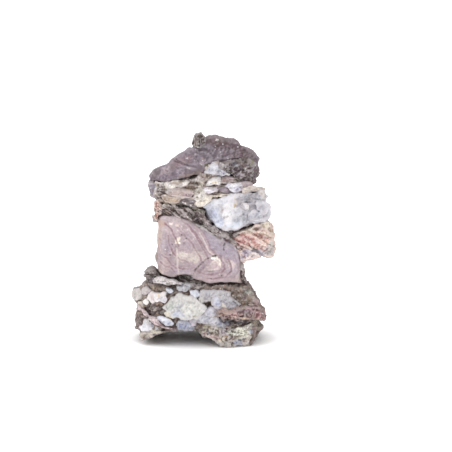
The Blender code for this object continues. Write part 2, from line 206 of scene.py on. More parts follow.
def block(outline, plan, front, back, rag=(2.6, 1.1), wear=1.6, grown=0.0):
    """A bed or lump of the stone: its outline on the face, and the planes that cleave it, each a
    point and an outward normal. A facet is its y, and how far it leans for each millimetre. Rag is
    how its outline is broken up, wear how far its edges are rounded, and grown how far it reaches
    past its outline."""
    middle_x, middle_w = np.mean(outline, axis=0)
    planes = []
    for (x0, y0), (x1, y1) in zip(plan, plan[1:] + plan[:1]):
        planes.append(((x0, y0, 0), (y1 - y0, x0 - x1, 0)))
    for side, facets in ((-1, front), (1, back)):
        for y, across, up in facets:
            middle = (middle_x, y, (middle_w - y * sin(DIP)) / cos(DIP))
            planes.append((middle, (-across * side, side, -up * side)))
    planes = [(np.array(point), np.array(Vector(normal).normalized())) for point, normal in planes]
    seed = 50 + int(abs(7 * middle_x + 3 * middle_w)) % 40
    outline = ragged(outline, *rag, seed)
    low, distances = distance_map(outline)
    return {"outline": outline, "planes": planes, "depth": (front[0][0], back[0][0]), "wear": wear,
            "map": (low, distances - grown)}


def distance_outside(points, stone):
    """Distance outside a block, negative inside: the greatest of its distances past the outline and
    past each plane, eased where two are alike, so that edges are a little worn. The oval hollow
    under the stone is taken out of every block, and so is all that would reach below the ground."""
    outside, wear = read_map(points, *stone["map"]), stone["wear"]
    for point, normal in stone["planes"]:
        past = (points - point) @ normal
        ease = np.clip(1 - np.abs(outside - past) / wear, 0, 1)
        outside = np.maximum(outside, past) + wear / 4 * ease * ease
    in_hollow = 20 * (1 - np.linalg.norm((points - HOLLOW_CENTRE) / HOLLOW_REACH, axis=1))
    return np.maximum(outside, np.maximum(in_hollow, -points[:, 2]))


def middle_line(outline, across):
    """The middle height and half height of an outline at each of these places across it."""
    low, high = np.full(len(across), 1e9), np.full(len(across), -1e9)
    for (x0, w0), (x1, w1) in zip(outline, outline[1:] + outline[:1]):
        if x0 == x1:
            continue
        part = (across - x0) / (x1 - x0)
        hit = (part >= 0) & (part <= 1)
        up = np.where(hit, w0 + part * (w1 - w0), 0)
        low = np.where(hit, np.minimum(low, up), low)
        high = np.where(hit, np.maximum(high, up), high)
    low = np.maximum(low, 0)
    return (low + high) / 2, np.maximum((high - low) / 2, 1)


def lengths_inside(start, ray, stone):
    """How much of its own length each ray goes before it first leaves the block: steps until it is
    outside, then halving of the last step."""
    inner, outer = np.zeros(len(ray)), np.full(len(ray), RAY_STEP)
    going = np.ones(len(ray), bool)
    while going.any() and outer.max() < RAY_LIMIT:
        going[going] = distance_outside((start + ray * outer[:, None])[going], stone) < 0
        inner[going] = outer[going]
        outer[going] += RAY_STEP
    for _ in range(9):
        half_way = (inner + outer) / 2
        within = distance_outside(start + ray * half_way[:, None], stone) < 0
        inner, outer = np.where(within, half_way, inner), np.where(within, outer, half_way)
    return inner


def drawn_out(stone, spacing):
    """A grid of points on a block. Rays leave the middle line of its outline, evened along its
    length: rings over each end, then a ring for every step along it. Each ray stops where it first
    leaves the block."""
    outline = stone["outline"]
    left, right = min(x for x, _ in outline), max(x for x, _ in outline)
    typical = np.median(middle_line(outline, np.linspace(left, right, 25)[1:-1])[1])
    end = min(0.8 * typical, 0.499 * (right - left))
    near, far = stone["depth"]
    deep = (far - near) / 2

    rings = max(6, round(0.5 * (deep + typical) / 1.6 / spacing))
    steps = max(4, round(end / spacing))
    stretch = max(2, round((right - left - 2 * end) / spacing))
    spread = np.concatenate([np.linspace(0, 1, rings + 1)[1:], np.ones(steps + stretch + steps - 1),
                             np.linspace(1, 0, rings + 1)[:-1]])
    lean = np.concatenate([-np.ones(rings), np.linspace(-1, 0, steps + 1)[1:], np.zeros(stretch - 1),
                           np.linspace(0, 1, steps + 1)[:-1], np.ones(rings)])
    place = np.concatenate([np.full(rings + steps, left + end),
                            np.linspace(left + end, right - end, stretch + 1)[1:-1],
                            np.full(steps + rings, right - end)])
    reach = round(0.3 * typical / spacing)
    share = np.full(2 * reach + 1, 1 / (2 * reach + 1))
    middle, half = (np.convolve(np.pad(line, reach, "edge"), share, "valid")
                    for line in middle_line(outline, place))
    turns = 4 * max(6, round(1.5 * typical / spacing), round(0.45 * deep / spacing))
    angle = np.linspace(0, 2 * np.pi, turns, endpoint=False)
    angle = angle + 0.35 * np.sin(angle)

    start = np.empty((len(place), turns, 3))
    start[..., 0] = place[:, None]
    start[..., 1] = (near + far) / 2
    start[..., 2] = (middle[:, None] - start[..., 1] * sin(DIP)) / cos(DIP)
    ray = np.empty_like(start)
    ray[..., 0] = (lean * end)[:, None]
    ray[..., 1] = spread[:, None] * deep * np.cos(angle)
    ray[..., 2] = (spread * half)[:, None] * np.sin(angle)
    start, ray = start.reshape(-1, 3), ray.reshape(-1, 3)

    length = lengths_inside(start, ray, stone)
    return (start + ray * length[:, None]).reshape(len(place), turns, 3)


def around(grid):
    """The mean of each point's four neighbours: the two on its ring, and those of the rings beside it."""
    beside = np.concatenate([grid[:1], grid, grid[-1:]])
    return (np.roll(grid, 1, axis=1) + np.roll(grid, -1, axis=1) + beside[:-2] + beside[2:]) / 4


def outward(grid):
    """The unit normal at each point of a grid, from its neighbours along and round it."""
    rings = np.gradient(grid, axis=0)
    turns = np.roll(grid, -1, axis=1) - np.roll(grid, 1, axis=1)
    normal = np.cross(turns, rings)
    return normal / np.maximum(np.linalg.norm(normal, axis=2, keepdims=True), 1e-9)


def moved_out(grid, depth):
    """A grid with each point moved out along the normal, but never below the ground."""
    grid = grid + outward(grid) * depth.reshape(grid.shape[:2])[..., None]
    grid[..., 2] = np.maximum(grid[..., 2], 0)
    return grid


def hollowness(grid, rounds):
    """How far each point lies below the mean of the grid around it, for each millimetre between its
    neighbours: positive in a hollow."""
    calm = grid
    for _ in range(rounds):
        calm = around(calm)
    apart = (np.linalg.norm(np.roll(calm, 1, axis=1) - calm, axis=2)
             + np.linalg.norm(np.gradient(calm, axis=0), axis=2)) / 2
    return ((calm - grid) * outward(calm)).sum(axis=2) / np.maximum(apart, LEAST_SPACING)


def line_distance(points, line):
    """Distance on the face from each point to a line of (x, w) corners, a little wavering."""
    across = points[:, 0] + 0.5 * soft_noise(points, 3, 31)
    up = height_on_face(points) + 0.5 * soft_noise(points, 3, 32)
    nearest = np.full(len(points), 1e9)
    for start, end in zip(line, line[1:]):
        nearest = np.minimum(nearest, edge_distance(across, up, start, end))
    return np.sqrt(nearest)


def on_front(points):
    """1 on the front of the stone, fading to 0 over the 10 mm in front of its middle."""
    return np.clip(-points[:, 1] / 10, 0, 1)


def crack_share(points, cracks):
    """How deep each point of the front lies in a crack, 0 to 1. A crack is its line and half width."""
    share = np.zeros(len(points))
    for line, reach in cracks:
        share = np.maximum(share, np.clip(1 - line_distance(points, line) / reach, 0, 1))
    return share * on_front(points)


def rough_block(stone, roughness, spacing, lean=0.0, cracks=(), crack_depth=1.8, evened=2):
    """The finished grid of one block: drawn out, evened, roughened coarsely, cracked, and roughened
    finely."""
    grid = drawn_out(stone, spacing)
    for _ in range(evened):
        grid = around(grid)
    flat = grid.reshape(-1, 3)
    grid = moved_out(grid, coarse_relief(flat, roughness, lean) - crack_depth * crack_share(flat, cracks))
    grid = moved_out(around(grid), fine_relief(grid.reshape(-1, 3), roughness, lean))
    return grid


def grid_faces(rings, turns, first):
    """The quads of a grid that closes round each ring, and the fans to the two pole points."""
    ring, turn = np.meshgrid(np.arange(rings - 1), np.arange(turns), indexing="ij")
    after = (turn + 1) % turns
    quads = np.stack([ring * turns + turn, ring * turns + after,
                      (ring + 1) * turns + after, (ring + 1) * turns + turn], axis=-1)
    turn = np.arange(turns)
    after = (turn + 1) % turns
    left, right = rings * turns, rings * turns + 1
    last = (rings - 1) * turns
    fans = np.concatenate([np.stack([np.full(turns, left), after, turn], axis=-1),
                           np.stack([np.full(turns, right), last + turn, last + after], axis=-1)])
    return quads.reshape(-1, 4) + first, fans + first


def closed_mesh(name, points, quads, fans):
    """A smooth mesh in metres from points in millimetres, with its quads and triangles."""
    mesh = bpy.data.meshes.new(name)
    mesh.vertices.add(len(points))
    mesh.vertices.foreach_set("co", (points * MM).ravel())
    mesh.loops.add(quads.size + fans.size)
    mesh.loops.foreach_set("vertex_index", np.concatenate([quads.ravel(), fans.ravel()]))
    sizes = np.concatenate([np.full(len(quads), 4), np.full(len(fans), 3)])
    mesh.polygons.add(len(sizes))
    mesh.polygons.foreach_set("loop_start", np.cumsum(sizes) - sizes)
    mesh.polygons.foreach_set("use_smooth", np.ones(len(sizes), bool))
    mesh.update(calc_edges=True)
    mesh.validate()
    return mesh


def keep_field(mesh, field, values):
    """Values kept at the points of a mesh: a colour where there are three for each point."""
    if values.ndim == 2:
        rgba = np.column_stack([values, np.ones(len(values))])
        mesh.attributes.new(field, "FLOAT_COLOR", "POINT").data.foreach_set("color", rgba.ravel())
    else:
        mesh.attributes.new(field, "FLOAT", "POINT").data.foreach_set("value", values)


def stone_piece(name, grids, stones, finish, tint):
    """One mesh of several closed grids, with its finish, the colour that a function gives each of its
    points, and how far each point is hollow, a rim or near a joint."""
    points, quads, fans, hollow, rim = [], [], [], [], []
    first = 0
    for grid in grids:
        rings, turns = grid.shape[:2]
        points += [grid.reshape(-1, 3), grid[0].mean(axis=0)[None], grid[-1].mean(axis=0)[None]]
        quad, fan = grid_faces(rings, turns, first)
        quads.append(quad)
        fans.append(fan)
        fine, broad = hollowness(grid, 5).ravel(), hollowness(grid, 24).ravel()
        # Hollow and rim shares: soil colour and painted shade in hollows, and a paler painted highlight with
        # wear on rims.
        hollow += [np.clip(0.8 * fine / FINE_CURVE_DEPTH + 0.5 * broad / BROAD_CURVE_DEPTH, 0, 1), np.zeros(2)]
        rim += [np.clip(-0.8 * fine / FINE_CURVE_DEPTH - 0.3 * broad / BROAD_CURVE_DEPTH, 0, 1), np.zeros(2)]
        first += rings * turns + 2
    points = np.concatenate(points)
    quads, fans = np.concatenate(quads), np.concatenate(fans)

    mesh = closed_mesh(name, points, quads, fans)
    keep_field(mesh, "hollow", np.concatenate(hollow))
    keep_field(mesh, "rim", np.concatenate(rim))
    keep_field(mesh, "joint", np.zeros(len(points)))
    keep_field(mesh, "tint", tint(points))
    mesh.materials.append(finish)
    piece = bpy.data.objects.new(name, mesh)
    bpy.context.scene.collection.objects.link(piece)
    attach(piece, "root")
    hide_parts("rock")
    blocks_of[name], points_of[name] = stones, points
    return piece


def colour(red, green, blue):
    """A colour seen on a screen, 0 to 255, as the light it stands for."""
    seen = np.array([red, green, blue]) / 255
    return np.where(seen < 0.04045, seen / 12.92, ((seen + 0.055) / 1.055) ** 2.4)


def ground_of_each(grids, shades):
    """A ground colour for every point of a piece, one colour for each of its grids."""
    return np.repeat([colour(*shade) for shade in shades],
                     [grid.shape[0] * grid.shape[1] + 2 for grid in grids], axis=0)


def stained(ground, stains, seed, facet_tone_and_shade=(0.10, 0.10), flecks=(), patches=()):
    """Colours for points: one ground colour, or one each, patches with their own outlines, each stain in
    turn, then flecks. A stain is an oval on the face (x, w, half width, half height, turn in degrees,
    colour), with its edge broken by noise, and it fades towards the back. A fleck is a colour wherever noise
    of one cell size is over a level. Facet tone and shade is how much brightness varies at random over broken
    facets of two sizes, partly the stone's own tone and partly painted shading of facets."""
    def colours_at(points):
        drift = soft_noise(points * (0.2, 1, 0.2), 22, seed + 1)
        drift *= np.clip((points[:, 1] + 28) / 25, 0, 1)
        across = points[:, 0] + 7 * drift
        up = height_on_face(points) + 4 * drift
        across = across + 0.9 * soft_noise(points, 5, seed + 2)
        up = up + 0.9 * soft_noise(points, 5, seed + 3)
        shades = np.tile(colour(*ground), (len(points), 1)) if len(ground) == 3 else ground.copy()
        shades *= 1 + 0.12 * soft_noise(points, 9, seed + 4)[:, None]
        for outline, shade in patches:
            share = np.clip(0.5 - outline_distance(across, up, outline) / 0.9, 0, 1)[:, None]
            shades = shades * (1 - share) + colour(*shade) * share
        faded = 1 - 0.55 * np.clip((points[:, 1] + 26) / 26, 0, 1)
        ragged = 0.30 * soft_noise(points * (1, 1, 2), 4, seed + 5)
        ragged += 0.22 * soft_noise(points * (1, 1, 1.6), 1.8, seed + 6)
        for x, w, half_x, half_w, turn, shade in stains:
            c, s = cos(radians(turn)), sin(radians(turn))
            along = ((across - x) * c + (up - w) * s) / half_x
            over = ((up - w) * c - (across - x) * s) / half_w
            share = (faded * np.clip((1.15 - np.hypot(along, over) + ragged) / 0.35, 0, 1))[:, None]
            shades = shades * (1 - share) + colour(*shade) * share
        for order, (shade, cell, level) in enumerate(flecks):
            field = facet_noise(points, cell, seed + 20 + order)
            field += 0.45 * facet_noise(points, cell / 2.6, seed + 30 + order)
            share = 0.7 * np.clip((field - level) / 0.24, 0, 1)[:, None]
            shades = shades * (1 - share) + colour(*shade) * share
        # Painted shading and tone: brightness swings at random over broken facets.
        swing = facet_tone_and_shade[0] * facet_noise(points, 4.5, seed + 7)
        swing += facet_tone_and_shade[1] * facet_noise(points, 2, seed + 8)
        return np.clip(shades * (1 + swing[:, None]), 0.005, 0.92)
    return colours_at


def placed(tree, kind, settings=(), **inputs):
    """A shader node in a tree with its settings and the values or links of its inputs. An input is
    given by its name, or by its place in the row, as _0 for the first."""
    made = tree.nodes.new("ShaderNode" + kind)
    for key, value in dict(settings).items():
        setattr(made, key, value)
    for key, value in inputs.items():
        socket = made.inputs[int(key[1:])] if key[0] == "_" else made.inputs[key.replace("_", " ")]
        if isinstance(value, bpy.types.NodeSocket):
            tree.links.new(value, socket)
        else:
            socket.default_value = value
    return made


def effect(name, inputs, outputs):
    """An empty node group with named sockets, each given as its name, kind and starting value."""
    group = bpy.data.node_groups.new(name, "ShaderNodeTree")
    for socket, kind, value in inputs:
        made = group.interface.new_socket(socket, in_out="INPUT", socket_type="NodeSocket" + kind)
        if value is not None:
            made.default_value = value
    for socket, kind in outputs:
        group.interface.new_socket(socket, in_out="OUTPUT", socket_type="NodeSocket" + kind)
    return group, group.nodes.new("NodeGroupInput").outputs, group.nodes.new("NodeGroupOutput").inputs


def sized(tree, vector, scale):
    """Coordinates multiplied by one scale for each axis."""
    return placed(tree, "VectorMath", {"operation": "MULTIPLY"}, _0=vector, _1=scale).outputs[0]


def banded(tree, value, low, high, start=0.0, end=1.0):
    """A value eased from start to end as it goes from low to high."""
    return placed(tree, "MapRange", {"interpolation_type": "SMOOTHSTEP"}, Value=value, From_Min=low,
                  From_Max=high, To_Min=start, To_Max=end).outputs[0]


def mixed(tree, share, first, second):
    """Two colours mixed, with this share of the second one."""
    return placed(tree, "Mix", {"data_type": "RGBA"}, _0=share, _6=first, _7=second).outputs[2]


def product_of(tree, first, second):
    """One value times another."""
    return placed(tree, "Math", {"operation": "MULTIPLY"}, _0=first, _1=second).outputs[0]


def sum_of(tree, first, second):
    """One value plus another."""
    return placed(tree, "Math", {"operation": "ADD"}, _0=first, _1=second).outputs[0]


def grain_effect():
    """Mineral grain: noise of two sizes and small crumbs lighten and darken a colour, and give a fine
    height."""
    group, given, out = effect(
        "mineral grain",
        [("Vector", "Vector", None), ("Colour", "Color", None), ("Strength", "Float", 0.5)],
        [("Colour", "Color"), ("Height", "Float")])
    fine = placed(group, "TexNoise", Vector=given["Vector"], Scale=900, Detail=3).outputs[0]
    broad = placed(group, "TexNoise", Vector=given["Vector"], Scale=330, Detail=4).outputs[0]
    crumbs = placed(group, "TexVoronoi", Vector=given["Vector"], Scale=620).outputs["Color"]
    crumb = placed(group, "SeparateColor", Color=crumbs).outputs[0]
    both = sum_of(group, product_of(group, fine, 0.55), product_of(group, broad, 0.45))
    both = sum_of(group, both, product_of(group, sum_of(group, crumb, -0.5), 0.16))
    swing = product_of(group, banded(group, both, 0.3, 0.7, -0.5, 0.5), given["Strength"])
    bright = sum_of(group, swing, 1.0)
    shade = placed(group, "VectorMath", {"operation": "SCALE"}, _0=given["Colour"], Scale=bright)
    group.links.new(shade.outputs[0], out["Colour"])
    group.links.new(both, out["Height"])
    return group


def laminae_effect():
    """Thin layers: noise drawn out square to Z, split into dark partings and pale leaves."""
    group, given, out = effect(
        "bed laminae",
        [("Vector", "Vector", None), ("Colour", "Color", None), ("Dark", "Color", None),
         ("Pale", "Color", None), ("Dark Share", "Float", 0.5), ("Pale Share", "Float", 0.5),
         ("Fineness", "Float", 1.0)],
        [("Colour", "Color"), ("Height", "Float")])
    sway = placed(group, "TexNoise", Vector=given["Vector"], Scale=45, Detail=2).outputs[0]
    lift = placed(group, "CombineXYZ", Z=product_of(group, sway, 0.012)).outputs[0]
    swayed = placed(group, "VectorMath", {"operation": "ADD"}, _0=given["Vector"], _1=lift).outputs[0]
    drawn = sized(group, swayed, (55, 55, 520))
    finer = placed(group, "VectorMath", {"operation": "SCALE"}, _0=drawn, Scale=given["Fineness"])
    leaves = placed(group, "TexNoise", Vector=finer.outputs[0], Scale=1.0, Detail=4,
                    Roughness=0.6).outputs[0]
    dark = product_of(group, banded(group, leaves, 0.46, 0.36), given["Dark Share"])
    pale = product_of(group, banded(group, leaves, 0.55, 0.64), given["Pale Share"])
    shade = mixed(group, dark, given["Colour"], given["Dark"])
    shade = mixed(group, pale, shade, given["Pale"])
    group.links.new(shade, out["Colour"])
    group.links.new(leaves, out["Height"])
    return group


def speck_effect():
    """Scattered mineral specks: in some cells of a broken pattern, a small spot."""
    group, given, out = effect(
        "mineral specks",
        [("Vector", "Vector", None), ("Per Metre", "Float", 400), ("Share", "Float", 0.2),
         ("Size", "Float", 0.3)],
        [("Mask", "Float")])
    cells = placed(group, "TexVoronoi", Vector=given["Vector"], Scale=given["Per Metre"])
    chosen = placed(group, "SeparateColor", Color=cells.outputs["Color"]).outputs[0]
    kept = placed(group, "Math", {"operation": "LESS_THAN"}, _0=chosen, _1=given["Share"]).outputs[0]
    near = placed(group, "MapRange", {"interpolation_type": "SMOOTHSTEP"},
                  Value=cells.outputs["Distance"], From_Min=given["Size"], From_Max=0.0)
    group.links.new(product_of(group, kept, near.outputs[0]), out["Mask"])
    return group


def weathering_and_painted_light_effect():
    """Old soil, wear and painted light: soil colour darkens hollows and the joints between beds, as old soil
    and as painted shade, and raised rims are made paler, as rubbed wear and as a painted highlight."""
    group, given, out = effect(
        "weathering_and_painted_light",
        [("Vector", "Vector", None), ("Colour", "Color", None), ("Soil", "Color", None),
         ("Soil Share", "Float", 0.8), ("Rub Share", "Float", 0.3)],
        [("Colour", "Color"), ("Soil", "Float")])
    hollow = placed(group, "Attribute", {"attribute_name": "hollow"}).outputs["Fac"]
    rim = placed(group, "Attribute", {"attribute_name": "rim"}).outputs["Fac"]
    joint = placed(group, "Attribute", {"attribute_name": "joint"}).outputs["Fac"]
    patchy = placed(group, "TexNoise", Vector=given["Vector"], Scale=180, Detail=3).outputs[0]
    patchy = banded(group, patchy, 0.3, 0.65, 0.45, 1.0)
    # Painted shade and old soil: the soil colour darkens hollows and joints.
    most = placed(group, "Math", {"operation": "MAXIMUM"}, _0=product_of(group, hollow, 0.75), _1=joint)
    soil_and_shade = product_of(group, product_of(group, most.outputs[0], patchy), given["Soil Share"])
    # Painted highlight and wear: raised rims are made paler.
    rub_and_highlight = product_of(group, rim, given["Rub Share"])
    paler = mixed(group, rub_and_highlight, given["Colour"], (0.78, 0.74, 0.72, 1))
    group.links.new(mixed(group, soil_and_shade, paler, given["Soil"]), out["Colour"])
    group.links.new(soil_and_shade, out["Soil"])
    return group


GRAIN, LAMINAE, SPECKS, WEATHERING_AND_PAINTED_LIGHT = grain_effect(), laminae_effect(), speck_effect(), weathering_and_painted_light_effect()
# The soil colour, used for old soil and for painted shade in hollows and joints.
BROWN_SOIL_AND_SHADE = (*colour(70, 57, 50), 1)


def using(tree, group, **inputs):
    """A node group placed in a material with its own values."""
    made = tree.nodes.new("ShaderNodeGroup")
    made.node_tree = group
    for key, value in inputs.items():
        socket = made.inputs[key.replace("_", " ")]
        if isinstance(value, bpy.types.NodeSocket):
            tree.links.new(value, socket)
        else:
            socket.default_value = value
    return made.outputs


def new_finish(name):
    """A new material: its node tree, its shader, the Object coordinates and the colour that the mesh
    keeps at each point."""
    finish = bpy.data.materials.new(name)
    finish.use_nodes = True
    tree = finish.node_tree
    where = placed(tree, "TexCoord").outputs["Object"]
    tint = placed(tree, "Attribute", {"attribute_name": "tint"}).outputs["Color"]
    return finish, tree, tree.nodes["Principled BSDF"], where, tint


def skin(tree, shader, shade, rough, height, relief, specular):
    """A shader's colour, roughness, bump of some depth in metres, and specular level."""
    tree.links.new(shade, shader.inputs["Base Color"])
    tree.links.new(rough, shader.inputs["Roughness"])
    bump = placed(tree, "Bump", Height=height, Distance=relief, Strength=1.0)
    tree.links.new(bump.outputs[0], shader.inputs["Normal"])
    shader.inputs["Specular IOR Level"].default_value = specular


def rock_finish(name, dark, pale, dark_share=0.6, pale_share=0.5, fineness=1.0, grain=0.5,
                specks=0.1, speck_colour=(225, 222, 222), soil_and_shade=0.85, rub_and_highlight=0.25, roughness=0.8,
                relief=0.0005, lean=0.0):
    """A schist finish: its stains, then laminae, grain and specks, then soil colour in hollows and joints for
    old soil and painted shade and paler rims for wear and a painted highlight, with a dull skin. The laminae
    tilt back by the dip and climb to the left by the angle of lean."""
    finish, tree, shader, where, tint = new_finish(name)
    bedded = placed(tree, "VectorRotate", {"rotation_type": "EULER_XYZ"}, Vector=where,
                    Rotation=(DIP, -lean, 0)).outputs[0]
    leaves = using(tree, LAMINAE, Vector=bedded, Colour=tint, Dark=(*colour(*dark), 1),
                   Pale=(*colour(*pale), 1), Dark_Share=dark_share, Pale_Share=pale_share,
                   Fineness=fineness)
    grains = using(tree, GRAIN, Vector=where, Colour=leaves["Colour"], Strength=grain)
    spots = using(tree, SPECKS, Vector=where, Per_Metre=420, Share=specks, Size=0.42)
    speckled = mixed(tree, spots["Mask"], grains["Colour"], (*colour(*speck_colour), 1))
    aged_and_shaded = using(tree, WEATHERING_AND_PAINTED_LIGHT, Vector=where, Colour=speckled, Soil=BROWN_SOIL_AND_SHADE, Soil_Share=soil_and_shade,
                 Rub_Share=rub_and_highlight)
    rough = banded(tree, grains["Height"], 0.3, 0.7, roughness - 0.12, min(roughness + 0.12, 1))
    height = sum_of(tree, grains["Height"], product_of(tree, leaves["Height"], 1.5))
    skin(tree, shader, aged_and_shaded["Colour"], rough, height, relief, 0.35)
    return finish


dark_schist = rock_finish("dark mica schist", (48, 41, 38), (150, 142, 138), grain=0.7)
inner_block = block(INNER_ROCK, INNER_PLAN, [(-31, 0, 0)], [(26, 0, 0)])
stone_piece("rock_between_beds", [rough_block(inner_block, ROUGH_SCHIST, 1.2)], [inner_block],
            dark_schist, tint=stained((98, 86, 82), [(-55, 30, 14, 14, 0, (120, 110, 102)),
                                             # Painted shadow: the near-black stain at (-19, 60) fills the gap
                                             # under the smooth block.
                                             (-19, 60, 11, 3.5, 0, (22, 18, 17))], 100))


# The cap: the topmost bed, of fine mauve-grey schist that weather has rounded. It overhangs the beds
# below it, and a rough knob and a rough lip of splintered layers are left on it.

CAP_PLAN = [(-55, -6), (-46, -26), (-18, -40), (24, -40), (46, -30), (57, -8), (54, 16), (30, 34),
            (-6, 38), (-38, 26)]
CAP = [(-52, 151), (-51, 155), (-48, 161), (-41, 166), (-34, 169), (-29, 174), (-22, 178), (-17, 183),
       (-11, 184), (2, 195), (10, 196), (18, 195), (29, 193), (34, 191), (38, 186), (44, 183),
       (50, 177), (54, 170), (54, 163), (53, 156), (49, 156), (46, 162), (42, 169), (36, 172), (28, 170),
       (17, 169), (10, 167), (4, 162), (-3, 158), (-12, 156), (-22, 154), (-36, 152)]
CAP_PLATE = [(-52, 151), (-51, 155), (-48, 161), (-41, 166), (-31, 171), (-20, 174), (-10, 171),
             (1, 167), (5, 163), (0, 159), (-7, 157), (-12, 156), (-22, 154), (-36, 151)]
CREST_KNOB = [(-10, 184), (-11.5, 190), (-9, 194), (-7, 198), (-5, 197), (-1, 198), (3, 195), (3.5, 190),
              (2, 186), (-3, 183)]
KNOB_PLAN = [(-13, -30), (6, -30), (4, -12), (-1, 9), (-8, 9), (-12, -10)]
ROUGH_LIP = [(15, 169), (28, 171), (38, 174), (45, 173), (51, 166), (53, 158), (51, 151), (48, 149),
             (42, 146), (34, 150), (28, 157), (18, 164)]
CAP_CRACKS = [([(-26, 172), (-15, 167), (-8, 166), (-2, 165), (3, 161)], 1.1),
              ([(6, 168), (16, 171), (28, 172), (38, 174)], 1.4), ([(-3, 182), (3, 182)], 2.0)]
CAP_STAINS = [
    (-12, 165, 30, 11, 22, (142, 129, 141)), (8, 179, 26, 8, 12, (110, 100, 109)),
    (28, 184, 22, 9, -30, (92, 76, 83)), (42, 170, 10, 14, 20, (92, 76, 82)),
    (14, 190, 14, 5, 0, (96, 79, 83)), (-36, 157, 14, 4, 10, (132, 118, 134)),
    (-30, 164, 15, 4, 30, (152, 138, 145)), (-20, 170, 12, 4, 25, (138, 118, 126)),
    (33, 176, 9, 3, -15, (104, 86, 94)), (-46, 160, 5, 6, 45, (150, 140, 148)),
    (20, 179, 12, 3, 8, (112, 101, 110)), (49, 158, 4, 10, 70, (108, 82, 86)),
    (-10, 158, 12, 2, 10, (150, 128, 128)), (44, 169, 5, 4, 30, (128, 124, 96)),
    (46, 166, 2.4, 1.6, 0, (150, 150, 106)), (41, 171, 2.2, 1.4, 0, (142, 140, 100)),
    (4, 167, 2.6, 2.0, 0, (92, 86, 70)), (-2, 168, 1.6, 0.6, -35, (206, 198, 197)),
    (-13, 164, 2.4, 0.8, -40, (198, 192, 192)), (14, 191, 1.6, 0.9, 0, (220, 212, 212)),
    (-15, 174, 1.2, 0.6, 0, (212, 206, 206)), (-8, 172, 1.0, 0.6, 0, (218, 214, 214))]
KNOB_STAINS = [(-4, 190, 9, 9, 0, (60, 48, 46)), (-2, 190, 1.0, 8, 3, (66, 54, 52)),
               (-5, 190, 0.9, 8, -4, (104, 88, 82)), (2, 188, 0.9, 7, 5, (98, 84, 78)),
               (-8, 188, 2, 5, 0, (88, 74, 70)), (0, 183, 4, 1.3, 0, (58, 46, 44))]
LIP_STAINS = [(30, 162, 12, 8, -30, (86, 74, 85)), (36, 156, 4, 3, 0, (138, 124, 134)),
              (22, 168, 4, 3, 0, (140, 126, 130)), (26, 160, 6, 2, -45, (56, 48, 48)),
              (42, 158, 3, 5, -30, (120, 106, 112)), (30, 168, 3, 2, 0, (134, 134, 150)),
              (38, 168, 3, 2, 0, (150, 132, 132)), (33, 152, 5, 1.5, -20, (48, 42, 42))]

slate = rock_finish("weathered mauve schist", (96, 80, 88), (160, 146, 152), dark_share=0.2,
                    pale_share=0.2, grain=0.6, specks=0.07, soil_and_shade=0.7, rub_and_highlight=0.12, lean=-0.30)
rough_schist = rock_finish("splintered schist", (62, 50, 50), (168, 152, 154), dark_share=0.35,
                           pale_share=0.3, grain=0.9, specks=0.16, soil_and_shade=0.9, rub_and_highlight=0.3, roughness=0.85)
cap_blocks = [block(CAP, CAP_PLAN, [(-31, 0.03, 0.55)], [(30, 0.05, -0.5)], (1.4, 2.6), 0.6),
              block(CAP_PLATE, CAP_PLAN, [(-36.5, 0.02, 0.62)], [(20, 0, 0)], (1.4, 2.4), 0.4)]
CAP_FLECKS = [((112, 94, 104), 7, 0.62), ((160, 148, 154), 5, 0.72), ((140, 112, 112), 9, 0.7)]
stone_piece("cap", [rough_block(stone, CAP_SLATE, 0.68, -0.3, CAP_CRACKS, 2.4) for stone in cap_blocks],
            cap_blocks, slate, tint=stained((122, 109, 119), CAP_STAINS, 200, (0.06, 0.07), CAP_FLECKS))

knob_block = block(CREST_KNOB, KNOB_PLAN, [(-26, -0.5, 0.3), (-25, 0.5, 0.3)], [(4, 0, -0.9)],
                   (1.5, 1.2), 0.6)
lip_block = block(ROUGH_LIP, CAP_PLAN, [(-39, 0.1, 0.15)], [(26, 0, 0)], (1.6, 1.8), 0.6)
LIP_FLECKS = [((66, 54, 56), 5, 0.35), ((134, 122, 132), 4, 0.6), ((116, 98, 92), 6, 0.5)]
stone_piece("cap_knob_and_lip", [rough_block(knob_block, STRIATED_KNOB, 0.4, 1.45, evened=1),
                                 rough_block(lip_block, CRUMBLY_SCHIST, 0.52, 0.3, evened=1)],
            [knob_block, lip_block], rough_schist,
            tint=stained((95, 82, 87), KNOB_STAINS + LIP_STAINS, 210, flecks=LIP_FLECKS))


# The upper band: quartz and feldspar veins that were folded into the schist and pinched off into
# lenses. The bed itself is crumbly and brown, and each lens is a lump of its own that stands out of it.

BAND_PLAN = [(-52, -14), (-46, -30), (-24, -38), (20, -40), (50, -33), (62, -12), (56, 14), (30, 30),
             (-12, 34), (-40, 24)]
UPPER_BAND = [(-51, 153), (-36, 153), (-22, 154), (-7, 158), (7, 168), (15, 170), (23, 161), (34, 153),
              (42, 147), (51, 146), (58, 145), (45, 141), (32, 139), (20, 136), (11, 133), (3, 127),
              (-7, 124), (-16, 128), (-30, 128), (-43, 130), (-44, 133), (-48, 138), (-51, 144)]
BAND_STAINS = [
    (-40, 145, 5, 9, 10, (128, 116, 116)), (-38, 150, 4, 3, 0, (178, 168, 164)),
    (-8, 151, 9, 4, 0, (102, 86, 80)), (-4, 154, 4, 2, 0, (196, 184, 182)),
    (-20, 145, 12, 2, 0, (150, 130, 112)), (-2, 142, 5, 9, 0, (196, 188, 176)),
    (22, 158, 10, 3, -20, (170, 152, 154)), (40, 149, 6, 3, 0, (150, 134, 140)),
    (46, 144, 10, 2, 5, (200, 188, 180)), (10, 146, 14, 2, 0, (150, 132, 124)),
    (24, 139, 12, 2, 5, (208, 196, 182)), (-28, 131, 14, 2.5, 0, (128, 112, 98)),
    (-8, 126, 9, 2.5, -15, (166, 158, 146)), (-38, 138, 4, 3, 0, (96, 84, 80))]
